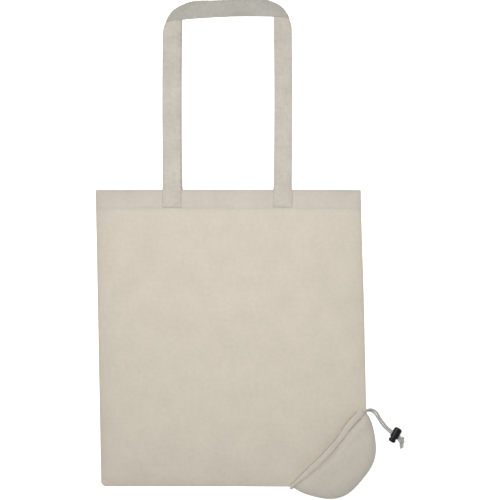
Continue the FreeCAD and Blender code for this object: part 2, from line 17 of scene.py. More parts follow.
import bmesh
import bpy
import numpy as np
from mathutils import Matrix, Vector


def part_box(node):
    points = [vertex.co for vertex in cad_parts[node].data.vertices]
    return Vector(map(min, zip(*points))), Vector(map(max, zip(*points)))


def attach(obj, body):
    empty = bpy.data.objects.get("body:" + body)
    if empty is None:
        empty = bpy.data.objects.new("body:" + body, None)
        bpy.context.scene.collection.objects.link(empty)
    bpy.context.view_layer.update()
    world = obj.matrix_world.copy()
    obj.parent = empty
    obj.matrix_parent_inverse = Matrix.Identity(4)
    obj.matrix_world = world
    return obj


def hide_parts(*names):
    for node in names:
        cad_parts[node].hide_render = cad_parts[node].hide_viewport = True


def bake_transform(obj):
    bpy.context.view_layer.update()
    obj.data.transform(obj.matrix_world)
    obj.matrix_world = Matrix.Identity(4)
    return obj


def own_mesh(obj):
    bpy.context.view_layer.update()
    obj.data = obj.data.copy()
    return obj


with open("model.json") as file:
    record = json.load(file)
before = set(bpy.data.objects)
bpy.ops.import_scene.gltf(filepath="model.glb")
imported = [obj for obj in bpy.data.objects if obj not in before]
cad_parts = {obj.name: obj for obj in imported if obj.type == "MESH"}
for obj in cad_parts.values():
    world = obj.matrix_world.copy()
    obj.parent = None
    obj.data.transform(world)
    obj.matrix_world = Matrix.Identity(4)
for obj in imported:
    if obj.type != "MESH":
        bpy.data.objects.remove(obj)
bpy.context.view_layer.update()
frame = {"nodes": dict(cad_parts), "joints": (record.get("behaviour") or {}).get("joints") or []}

Array = np.ndarray
Shell = tuple[Array, Array, Array]  # faces, points, and each point's place on the flat cloth
MM = 0.001
REVERSE = 1.0  # how far the reverse side lies from the right side on the flat cloth
log = logging.getLogger("tote_bag")


# --- numbers ---------------------------------------------------------------------------------


def ease(value: Array, low: float, high: float) -> Array:
    """Rises smoothly from 0 at low to 1 at high: 3 t squared minus 2 t cubed.

    Args:
        value: Where to work it out.
        low: Where the rise starts.
        high: Where it ends.

    Returns:
        The share risen, from 0 to 1.
    """
    t = np.clip((value - low) / (high - low), 0.0, 1.0)
    return t * t * (3.0 - 2.0 * t)


def bell(value: Array, middle: float, width: float) -> Array:
    """A bell curve: e to the minus square of the distance from the middle over the width."""
    return np.exp(-(((value - middle) / width) ** 2))


def ripples(x: Array, y: Array, seed: int, length: float, height: float, count: int = 6) -> Array:
    """Uneven cloth: a sum of plane waves of random heading and phase, and of about one wavelength.

    Args:
        x: Places along one direction of the cloth.
        y: Places along the other.
        seed: Picks the waves.
        length: The middle wavelength.
        height: About how far the sum stands from nought.
        count: How many waves are summed.

    Returns:
        The height at each place.
    """
    draw = np.random.default_rng(seed)
    heading = draw.uniform(0.0, math.tau, count)
    phase = draw.uniform(0.0, math.tau, count)
    wave = math.tau / (length * draw.uniform(0.6, 1.7, count))
    across = x[..., None] * np.cos(heading) + y[..., None] * np.sin(heading)
    return height * math.sqrt(2.0 / count) * np.sin(across * wave + phase).sum(axis=-1)


def spaced(low: float, high: float, count: int, crowding: float = 0.85) -> Array:
    """Values from low to high that crowd towards both ends: t minus a share of sin(2 pi t) / (2 pi).

    Args:
        low: The first value.
        high: The last value.
        count: How many values.
        crowding: From 0, even, to just under 1.

    Returns:
        The values in rising order.
    """
    t = np.linspace(0.0, 1.0, count)
    return low + (high - low) * (t - crowding * np.sin(math.tau * t) / math.tau)


def unit(vectors: Array) -> Array:
    """Vectors divided by their length, or straight up where they have none."""
    length = np.linalg.norm(vectors, axis=-1, keepdims=True)
    return np.where(length > 1e-12, vectors / np.maximum(length, 1e-12), (0.0, 0.0, 1.0))


def stack(*parts: Array) -> Array:
    """Puts x, y and z arrays of any matching shapes together as points."""
    return np.stack(np.broadcast_arrays(*parts), axis=-1)


# --- meshes ----------------------------------------------------------------------------------


def grid_faces(rows: int, columns: int, wrap_rows: bool = False, wrap_columns: bool = False) -> Array:
    """Quads of a grid whose points are numbered row by row.

    Args:
        rows: How many rows of points.
        columns: How many points in a row.
        wrap_rows: Whether the last row joins the first.
        wrap_columns: Whether the last point of a row joins its first.

    Returns:
        An array of four point numbers for each quad.
    """
    r = np.arange(rows if wrap_rows else rows - 1)[:, None]
    c = np.arange(columns if wrap_columns else columns - 1)[None, :]
    r_next, c_next = (r + 1) % rows, (c + 1) % columns
    corners = [r * columns + c, r * columns + c_next, r_next * columns + c_next, r_next * columns + c]
    return np.stack(np.broadcast_arrays(*corners), axis=-1).reshape(-1, 4)


def piece(name: str, points: Array, faces: Array, cloth: Array, weld: float = 1e-7) -> bpy.types.Object:
    """Makes one closed piece, welds coincident points and turns its faces outwards.

    Args:
        name: The piece's name.
        points: Its points, in metres.
        faces: Point numbers of each face.
        cloth: For each point, its place on the flat cloth or round the cord, and its distance from the
            cloth's border, in metres.
        weld: Points closer than this become one.

    Returns:
        The object, at the origin.
    """
    mesh = bpy.data.meshes.new(name)
    mesh.from_pydata(points.reshape(-1, 3).tolist(), [], faces.tolist())
    corner = np.zeros(len(mesh.loops), dtype=np.int32)
    mesh.loops.foreach_get("vertex_index", corner)
    layer = mesh.uv_layers.new(name="cloth")
    layer.data.foreach_set("uv", cloth[:, :2][corner].astype(np.float32).ravel())
    border = mesh.attributes.new("border", "FLOAT", "POINT")
    border.data.foreach_set("value", cloth[:, 2].astype(np.float32))
    work = bmesh.new()
    work.from_mesh(mesh)
    bmesh.ops.remove_doubles(work, verts=work.verts, dist=weld)
    bmesh.ops.recalc_face_normals(work, faces=work.faces)
    work.to_mesh(mesh)
    work.free()
    mesh.shade_smooth()
    made = bpy.data.objects.new(name, mesh)
    bpy.context.scene.collection.objects.link(made)
    log.info("%s: %d faces", name, len(mesh.polygons))
    return made


@dataclass
class Surface:
    """A sheet on a grid of two parameters, with a rounded edge where its thickness falls to nought.

    Attributes:
        rows, columns: The parameters of the grid's rows and columns.
        middle: Each point's place in the bag, halfway through the cloth.
        half: Half the thickness there.
        cloth: The point's place on the flat cloth.
        border: How far it is from the border.
        normal: The upward normal.
    """

    rows: Array
    columns: Array
    middle: Array
    half: Array
    cloth: Array
    border: Array
    normal: Array = field(init=False)

    def __post_init__(self) -> None:
        """Works out the upward normal: the cross product of the grid's two directions."""
        down_rows = np.gradient(self.middle, axis=0)
        along_columns = np.gradient(self.middle, axis=1)
        self.normal = unit(np.cross(along_columns, down_rows))

    def shell(self) -> Shell:
        """Both sides of the sheet, the second one numbered after the first and set apart on the flat cloth.

        Returns:
            The faces, the points and their places on the flat cloth.
        """
        rows, columns = self.half.shape
        offset = self.normal * self.half[..., None]
        quads = grid_faces(rows, columns)
        faces = np.concatenate([quads, quads[:, ::-1] + rows * columns])
        points = np.concatenate([self.middle + offset, self.middle - offset]).reshape(-1, 3)
        flat = np.concatenate([self.cloth, self.border[..., None]], axis=-1).reshape(-1, 3)
        return faces, points, np.concatenate([flat, flat + (REVERSE, 0.0, 0.0)])

    def sewn(self, row: Array, column: Array, side: float, pitch: float = 3.0 * MM) -> Shell:
        """A row of stitches on one side of the sheet.

        Args:
            row: Row parameters of close points along it.
            column: Their column parameters.
            side: 1 for the upper side, -1 for the lower side.
            pitch: From one stitch to the next.

        Returns:
            The stitches' shell.
        """
        skin = self.middle + self.normal * (side * self.half)[..., None]
        up = unit(self._between(self.normal * side, row, column))
        return Sewing(pitch).stitches(self._between(skin, row, column), up)

    def _between(self, values: Array, row: Array, column: Array) -> Array:
        """Weights the four grid points round each pair of parameters by nearness.

        Args:
            values: A value at each grid point.
            row: Row parameters.
            column: Column parameters.

        Returns:
            A value for each pair of parameters.
        """
        r, c = (
            np.clip(np.interp(wanted, marks, np.arange(len(marks))), 0, len(marks) - 1.001)
            for wanted, marks in ((row, self.rows), (column, self.columns))
        )
        r0, c0 = r.astype(int), c.astype(int)
        r_share, c_share = (r - r0)[..., None], (c - c0)[..., None]
        low = values[r0, c0] * (1 - c_share) + values[r0, c0 + 1] * c_share
        high = values[r0 + 1, c0] * (1 - c_share) + values[r0 + 1, c0 + 1] * c_share
        return low * (1 - r_share) + high * r_share


def border_taper(distance: Array, reach: float) -> Array:
    """Thickness near a border: a quarter circle that rises from 0 at the border to 1 at its reach."""
    t = np.clip(distance / reach, 0.0, 1.0)
    return np.sqrt(1.0 - (1.0 - t) ** 2)


def lengths(path: Array) -> Array:
    """The distance along a path of points, from its first one to each."""
    return np.concatenate([[0.0], np.cumsum(np.linalg.norm(np.diff(path, axis=0), axis=1))])


def along(path: Array, distance: Array) -> Array:
    """Points at given distances along a path."""
    have = lengths(path)
    return stack(*(np.interp(distance, have, path[:, axis]) for axis in range(3)))


def tube(path: Array, radius: Array, towards: Array, sides: int) -> Shell:
    """A closed tube: at each point of the path, a ring square to it, closed to a point at both ends.

    Args:
        path: The middle line.
        radius: One for each point, or one for each point and side.
        towards: A direction, or one for each point, from which the rings are numbered.
        sides: How many points in a ring.

    Returns:
        The faces, the points and each point's place round and along the tube.
    """
    ahead = unit(np.gradient(path, axis=0))
    aside = unit(np.cross(ahead, np.broadcast_to(towards, path.shape)))
    up = np.cross(aside, ahead)
    angle = np.linspace(0.0, math.tau, sides, endpoint=False)
    reach = np.broadcast_to(np.asarray(radius).reshape(len(path), -1), (len(path), sides))[..., None]
    ring = aside[:, None] * np.cos(angle)[None, :, None] + up[:, None] * np.sin(angle)[None, :, None]
    rings = path[:, None] + ring * reach
    ends = [np.broadcast_to(path[end], (1, sides, 3)) for end in (0, -1)]
    points = np.concatenate([ends[0], rings, ends[1]])
    far = np.concatenate([[0.0], lengths(path), [lengths(path)[-1]]])
    cloth = stack(angle[None, :] / math.tau, far[:, None])
    return grid_faces(len(points), sides, wrap_columns=True), points, cloth


def joined(name: str, shells: Sequence[Shell]) -> bpy.types.Object:
    """Makes several closed shells as one piece, and calls them far from a border where they don't say.

    Args:
        name: The piece's name.
        shells: The shells.

    Returns:
        The object.
    """
    points = [places.reshape(-1, 3) for _, places, _ in shells]
    starts = np.cumsum([0, *map(len, points)])
    faces = np.concatenate([quads + start for (quads, _, _), start in zip(shells, starts)])
    cloth = np.concatenate([flat.reshape(-1, flat.shape[-1]) for _, _, flat in shells])
    if cloth.shape[1] == 2:
        cloth = np.concatenate([cloth, np.ones((len(cloth), 1))], axis=1)
    return piece(name, np.concatenate(points), faces, cloth)


@dataclass(frozen=True)
class Sewing:
    """A row of lockstitches.

    Attributes:
        pitch: From one stitch to the next.
        gap: The part of the pitch where the thread is under the cloth.
        thread: The thread's radius.
        rings, sides: Rings of points along a stitch, and points in a ring.
    """

    pitch: float = 3.0 * MM
    gap: float = 0.55 * MM
    thread: float = 0.22 * MM
    rings: int = 7
    sides: int = 6

    def stitches(self, path: Array, up: Array) -> Shell:
        """Threads along a path: each rises out of the cloth and dives back, as half a sine wave.

        Args:
            path: Close points on the cloth that the row follows.
            up: The cloth's unit normal at each of them.

        Returns:
            The faces, the points and the cloth places of all the stitches.
        """
        total = lengths(path)[-1]
        count = max(1, int(round(total / self.pitch)))
        start = np.arange(count) * total / count + self.gap / 2
        t = np.linspace(0.0, 1.0, self.rings)
        where = start[:, None] + t[None, :] * (total / count - self.gap)
        have = lengths(path)
        centre = along(path, where)
        lift = stack(*(np.interp(where, have, up[:, axis]) for axis in range(3)))
        centre = centre + lift * (self.thread * (0.9 * np.sin(math.pi * t) - 0.45))[None, :, None]
        ahead = unit(np.gradient(centre, axis=1))
        aside = unit(np.cross(ahead, lift))
        angle = np.linspace(0.0, math.tau, self.sides, endpoint=False)
        thick = self.thread * border_taper(np.minimum(t, 1.0 - t), 0.25)[None, :, None, None]
        ring = (
            aside[:, :, None] * np.cos(angle)[:, None] + lift[:, :, None] * 0.8 * np.sin(angle)[:, None]
        )
        points = centre[:, :, None] + ring * thick
        one = grid_faces(self.rings, self.sides, wrap_columns=True)
        faces = (one[None] + (np.arange(count) * self.rings * self.sides)[:, None, None]).reshape(-1, 4)
        cloth = stack(angle / math.tau + 0 * where[..., None], where[..., None] + 0 * angle)
        return faces, points, cloth


# --- shaders ---------------------------------------------------------------------------------


def math_node(operation: str, swapped: bool = False) -> Callable[..., Flow]:
    """A method that adds a Math node to the numbers that it is given.

    Args:
        operation: The node's operation.
        swapped: Whether the number whose method it is goes in last.

    Returns:
        The method.
    """

    def add(number: Flow, *others: Any) -> Flow:
        """Adds the node and gives its output."""
        order = (*others, number) if swapped else (number, *others)
        return number.shader.node("ShaderNodeMath", {"operation": operation}, dict(enumerate(order)))

    return add


class Flow:
    """A number that runs between shader nodes, on which sums can be written.

    Besides the signs of arithmetic there are sine, of an angle in radians, and above, which is 1 where the
    number is over a limit and 0 elsewhere.
    """

    def __init__(self, shader: Shader, socket: Any) -> None:
        """Wraps an output socket of one of the shader's nodes."""
        self.shader = shader
        self.socket = socket

    __add__ = __radd__ = math_node("ADD")
    __sub__ = math_node("SUBTRACT")
    __rsub__ = math_node("SUBTRACT", swapped=True)
    __mul__ = __rmul__ = math_node("MULTIPLY")
    __rpow__ = math_node("POWER", swapped=True)
    __abs__ = math_node("ABSOLUTE")
    sine = math_node("SINE")
    above = math_node("GREATER_THAN")

    def kept(self) -> Flow:
        """This held between 0 and 1."""
        return self.shader.node("ShaderNodeClamp", {}, {"Value": self})


class Shader:
    """One material under construction, with a Principled shader at its end."""

    def __init__(self, name: str) -> None:
        """Starts a material that holds only its output and its Principled shader.

        Args:
            name: The material's name.
        """
        self.material = bpy.data.materials.new(name)
        self.material.use_nodes = True
        self.tree = self.material.node_tree
        self.tree.nodes.clear()
        end = self.tree.nodes.new("ShaderNodeOutputMaterial")
        self.surface = self.tree.nodes.new("ShaderNodeBsdfPrincipled")
        self.tree.links.new(self.surface.outputs[0], end.inputs[0])

    def node(self, kind: str, settings: dict[str, Any], inputs: dict[Any, Any], output: Any = 0) -> Flow:
        """Adds any node.

        Args:
            kind: The node's type.
            settings: Its properties, which are set first.
            inputs: Values or flows for its sockets, by name or number.
            output: The output wanted, by name or number.

        Returns:
            That output.
        """
        made = self.tree.nodes.new(kind)
        for name, value in settings.items():
            setattr(made, name, value)
        self.fill(made, inputs)
        return Flow(self, made.outputs[output])

    def fill(self, made: Any, inputs: dict[Any, Any]) -> None:
        """Sets or links a node's sockets.

        Args:
            made: The node.
            inputs: Values or flows for its sockets, by name or number.
        """
        for key, value in inputs.items():
            if isinstance(value, Flow):
                self.tree.links.new(value.socket, made.inputs[key])
            else:
                made.inputs[key].default_value = value

    def finished(self, inputs: dict[str, Any]) -> bpy.types.Material:
        """Sets or links the Principled shader's sockets, and hands the material over."""
        self.fill(self.surface, inputs)
        return self.material

    def cloth(self) -> Flow:
        """The place on the flat cloth, in metres."""
        return self.node("ShaderNodeUVMap", {"uv_map": "cloth"}, {})

    def object_mm(self) -> Flow:
        """The place in the object, in millimetres."""
        return self.in_mm(self.node("ShaderNodeTexCoord", {}, {}, "Object"))

    def in_mm(self, place: Flow) -> Flow:
        """A place turned from metres into millimetres."""
        return self.node("ShaderNodeVectorMath", {"operation": "SCALE"}, {0: place, "Scale": 1 / MM})

    def x_and_y(self, place: Flow) -> tuple[Flow, Flow]:
        """The first two numbers of a place."""
        return tuple(self.node("ShaderNodeSeparateXYZ", {}, {0: place}, axis) for axis in "XY")

    def noise(self, place: Flow, per_mm: Sequence[float], detail: float = 2.0, seed: float = 0.0) -> Flow:
        """Soft noise, stretched by giving each direction its own number of cells to the millimetre.

        Args:
            place: Where to work it out, in millimetres.
            per_mm: The cells to the millimetre in each direction.
            detail: How many finer noises are laid over it.
            seed: Moves the noise elsewhere, so that two of them differ.

        Returns:
            The noise, mostly from 0.3 to 0.7.
        """
        moved = {"Vector": place, "Location": (seed, seed * 0.7, 0.0), "Scale": per_mm}
        where = self.node("ShaderNodeMapping", {}, moved)
        return self.node("ShaderNodeTexNoise", {}, {"Vector": where, "Scale": 1.0, "Detail": detail})

    def blend(self, share: Flow, low: Any, high: Any, kind: str = "MIX") -> Flow:
        """A colour between two.

        Args:
            share: From 0 to 1.
            low: The colour at 0.
            high: The colour that is mixed in, up to a share of 1.
            kind: How it is mixed in.

        Returns:
            The colour.
        """
        made = self.tree.nodes.new("ShaderNodeMix")
        made.data_type, made.blend_type = "RGBA", kind
        colours = [n for n, socket in enumerate(made.inputs) if socket.type == "RGBA"]
        ends = {n: end if isinstance(end, Flow) else (*end, 1.0) for n, end in zip(colours, (low, high))}
        self.fill(made, {0: share, **ends})
        return Flow(self, next(socket for socket in made.outputs if socket.type == "RGBA"))

    def bump(self, height_mm: Flow, strength: float = 1.0) -> Flow:
        """Normals for a height given in millimetres."""
        relief = {"Height": height_mm, "Distance": MM, "Strength": strength}
        return self.node("ShaderNodeBump", {}, relief, "Normal")


@dataclass(frozen=True)
class Cotton:
    """Unbleached plain-woven cotton: threads over and under, uneven yarn, and specks of seed.

    Attributes:
        name: The material's name.
        light, dark: The colours that the yarn varies between.
        yarn_mm: From one thread to the next.
        weave_mm: How far a thread stands up.
        streaks: How much single threads differ.
        clouds: How much patches of cloth differ.
        roughness: The Principled shader's roughness.
        sheen: Its sheen.
        reverse_side_shade: What the colour on the cloth's other side is multiplied by: painted shade, which
            shows on the strap's folded bar, where that side faces up.
        hem_mm: Where along the cloth the hem starts, which for cloth without a hem is far past its end.
        hem: What the colour of the hem is multiplied by.
        rim, seam: How dark the painted shade along the border is, and how fast it fades, for a narrow and
            for a wide band.
    """

    name: str
    light: tuple[float, float, float]
    dark: tuple[float, float, float]
    yarn_mm: float = 0.52
    weave_mm: float = 0.05
    streaks: float = 0.34
    clouds: float = 1.0
    roughness: float = 0.92
    sheen: float = 0.12
    reverse_side_shade: tuple[float, float, float] = (1.0, 1.0, 1.0)
    hem_mm: float = 5000.0
    hem: tuple[float, float, float] = (1.0, 1.0, 1.0)
    # Painted shade along the cloth's border: a narrow band on every piece, and a wide one where it is set.
    rim: tuple[float, float] = (0.08, 0.7)
    seam: tuple[float, float] = (0.0, 0.16)

    def build(self) -> bpy.types.Material:
        """Colours the cloth by its uneven yarn and raises its threads.

        A thread's height is a half wave across it. The warp lies over where the signs of the two thread
        waves agree, and the weft elsewhere. Rim and seam each paint shade on the cloth at its border, where
        it rolls away, by their first number, times e to the minus distance in millimetres times their
        second.

        Returns:
            The material.
        """
        shader = Shader(self.name)
        place = shader.in_mm(shader.cloth())
        x, y = shader.x_and_y(place)
        turn = math.pi / self.yarn_mm
        warp, weft = (x * turn).sine(), (y * turn).sine()
        over = (warp * weft * 3.0 + 0.5).kept()
        threads = abs(warp) * over + abs(weft) * (1.0 - over)
        warp_streak = shader.noise(place, (1.3, 0.035, 1.0), 3.0)
        weft_streak = shader.noise(place, (0.028, 1.1, 1.0), 3.0, seed=31.0)
        cloud = shader.noise(place, (0.03, 0.03, 1.0), 4.0, seed=7.0)
        uneven = (warp_streak - 0.5) * 1.0 + (weft_streak - 0.5) * 0.8
        mottle = shader.noise(place, (0.16, 0.2, 1.0), 3.0, seed=55.0)
        soft = (cloud - 0.5) * 0.6 + (mottle - 0.5) * 0.5
        # Painted shade: the cloth darkens towards its border, where it rolls down at the seams and edges.
        border_mm = shader.node("ShaderNodeAttribute", {"attribute_name": "border"}, {}, "Fac") * (1 / MM)
        shade = sum(depth * math.e ** (border_mm * -fade) for depth, fade in (self.rim, self.seam))
        share = (0.5 + uneven * self.streaks + soft * self.clouds - (threads - 0.6) * 0.12).kept()
        speck = shader.noise(place, (0.55, 0.55, 1.0), 1.0, seed=90.0).above(0.79)
        share = (share - speck * 0.35).kept()
        height = threads * self.weave_mm + uneven * 0.05
        colour = shader.blend(share, self.dark, self.light)
        # Painted shade: the cloth's other side, which faces up on the strap's folded bar, is darkened here.
        colour = shader.blend(x.above(REVERSE / MM / 2), colour, self.reverse_side_shade, "MULTIPLY")
        hemmed = ((y - self.hem_mm) * 0.2 + 1.0).kept()
        colour = shader.blend(hemmed, colour, self.hem, "MULTIPLY")
        # Mixes the painted border shade in, towards black.
        colour = shader.blend(shade.kept(), colour, (0.0, 0.0, 0.0))
        return shader.finished(
            {
                "Base Color": colour,
                "Roughness": self.roughness,
                "Sheen Weight": self.sheen,
                "Sheen Roughness": 0.5,
                "Specular IOR Level": 0.25,
                "Normal": shader.bump(height, 0.7),
            }
        )


@dataclass(frozen=True)
class Yarn:
    """Twisted or braided cotton yarn, seen on cords and threads.

    Attributes:
        name: The material's name.
        light, dark: The colours of a plait's top and of the dips between plaits, the dark being painted
            shade in the dips.
        plaits: How many wind round the cord each way.
        lay_mm: The length in which one winds round the cord once.
        relief_mm: How far they stand up.
    """

    name: str
    light: tuple[float, float, float]
    dark: tuple[float, float, float]
    plaits: float = 8.0
    lay_mm: float = 5.0
    relief_mm: float = 0.12

    def build(self) -> bpy.types.Material:
        """Two families of strands wind round the cord in opposite ways, with painted shade where they dip.

        Returns:
            The material.
        """
        shader = Shader(self.name)
        turns, length = shader.x_and_y(shader.cloth())
        around = turns * (math.pi * self.plaits)
        far = length * (math.pi * self.plaits / (self.lay_mm * MM))
        plait = abs((around + far).sine()) * 0.5 + abs((around - far).sine()) * 0.5
        fibre = shader.noise(shader.object_mm(), (2.2, 2.2, 2.2), 3.0)
        # Painted shade: the colour darkens from the plaits' tops into the dips between them.
        share = (plait * 0.75 + fibre * 0.6 - 0.2).kept()
        return shader.finished(
            {
                "Base Color": shader.blend(share, self.dark, self.light),
                "Roughness": 0.9,
                "Sheen Weight": 0.2,
                "Specular IOR Level": 0.25,
                "Normal": shader.bump(plait * self.relief_mm + fibre * 0.08, 0.8),
            }
        )


@dataclass(frozen=True)
class Plastic:
    """Glossy moulded plastic with the faint orange peel and wear of a small part."""

    name: str
    colour: tuple[float, float, float]
    worn: tuple[float, float, float]

    def build(self) -> bpy.types.Material:
        """Varies gloss and colour with soft noise.

        Returns:
            The material.
        """
        shader = Shader(self.name)
        place = shader.object_mm()
        grain = shader.noise(place, (0.9, 0.9, 0.9), 4.0)
        scuff = shader.noise(place, (0.25, 0.9, 0.6), 3.0, seed=12.0)
        return shader.finished(
            {
                "Base Color": shader.blend((scuff * 1.6 - 0.6).kept(), self.colour, self.worn),
                "Roughness": (0.22 + scuff * 0.2).kept(),
                "Specular IOR Level": 0.3,
                "Coat Weight": 0.12,
                "Coat Roughness": 0.12,
                "Normal": shader.bump(grain * 0.05, 0.5),
            }
        )


@dataclass(frozen=True)
class Steel:
    """Drawn spring wire."""

    name: str
    colour: tuple[float, float, float]

    def build(self) -> bpy.types.Material:
        """Draws fine marks over bare metal.

        Returns:
            The material.
        """
        shader = Shader(self.name)
        marks = shader.noise(shader.object_mm(), (6.0, 1.0, 6.0), 3.0)
        darker = tuple(0.6 * part for part in self.colour)
        return shader.finished(
            {
                "Base Color": shader.blend(marks, darker, self.colour),
                "Metallic": 1.0,
                "Roughness": (0.2 + marks * 0.25).kept(),
                "Normal": shader.bump(marks * 0.02, 0.4),
            }
        )


class Finish(Enum):
    """Every finish on the bag, with the record's slot that it belongs to."""

    BODY = (
        "natural_cotton",
        Cotton(
            "body_cotton",
            light=(0.715, 0.65, 0.548),
            dark=(0.555, 0.502, 0.42),
            hem_mm=377.2,
            hem=(0.93, 0.94, 0.975),
            # A wide band of painted shade along the bag's seams, where the cloth rolls down.
            seam=(0.075, 0.16),
        ),
    )
    STRAP = (
        "cotton_strap",
        Cotton(
            "strap_cotton",
            light=(0.63, 0.59, 0.52),
            dark=(0.48, 0.445, 0.39),
            streaks=0.5,
            clouds=1.9,
            # Painted shade on the folded bar, where the strap's other side faces up.
            reverse_side_shade=(0.81, 0.835, 0.845),
        ),
    )
    POUCH = ("pouch_cotton", Cotton("pouch_cotton", (0.645, 0.60, 0.523), (0.50, 0.465, 0.405)))
    # Painted shadow: a dark brown line along the front casing's outer edge, for the shade in the gap under
    # it.
    WELT = ("pouch_cotton", Yarn("casing_shadow_line", (0.47, 0.36, 0.245), (0.33, 0.25, 0.17), 2.0, 2.4, 0.05))
    CORD = ("cotton_cord", Yarn("braided_cord", (0.56, 0.55, 0.52), (0.34, 0.335, 0.31)))
    THREAD = ("sewing_thread", Yarn("sewing_thread", (0.66, 0.61, 0.52), (0.40, 0.36, 0.30), 2.0, 0.8, 0.03))
    BLACK = ("black_plastic", Plastic("black_plastic", (0.0025, 0.003, 0.004), (0.006, 0.007, 0.008)))
    SPRING = ("spring_steel", Steel("spring_wire", (0.55, 0.55, 0.56)))


class Wardrobe:
    """Makes each finish once and puts it on pieces."""

    def __init__(self) -> None:
        """Builds all the materials."""
        self.materials = {finish: finish.value[1].build() for finish in Finish}

    def make(
        self, name: str, shells: Sequence[Shell], finish: Finish, nodes: Sequence[str] = (), body: str = ""
    ) -> bpy.types.Object:
        """Makes a piece, and gives it its finish.

        Args:
            name: The piece's name.
            shells: The closed shells that it is made of.
            finish: Its finish.
            nodes: The frame's nodes that it is shown instead of.
            body: The body that it moves with, if any.

        Returns:
            The object.
        """
        made = joined(name, shells)
        made.data.materials.append(self.materials[finish])
        if nodes:
            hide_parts(*nodes)
        if body:
            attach(made, body)
        return made

    def dress_node(self, name: str, finish: Finish) -> bpy.types.Object:
        """Gives a node of the frame its finish.

        Args:
            name: The node's name.
            finish: Its finish.

        Returns:
            The node's object.
        """
        node = frame["nodes"][name]
        for place in node.material_slots:
            place.material = self.materials[finish]
        return node


# --- the bag ---------------------------------------------------------------------------------


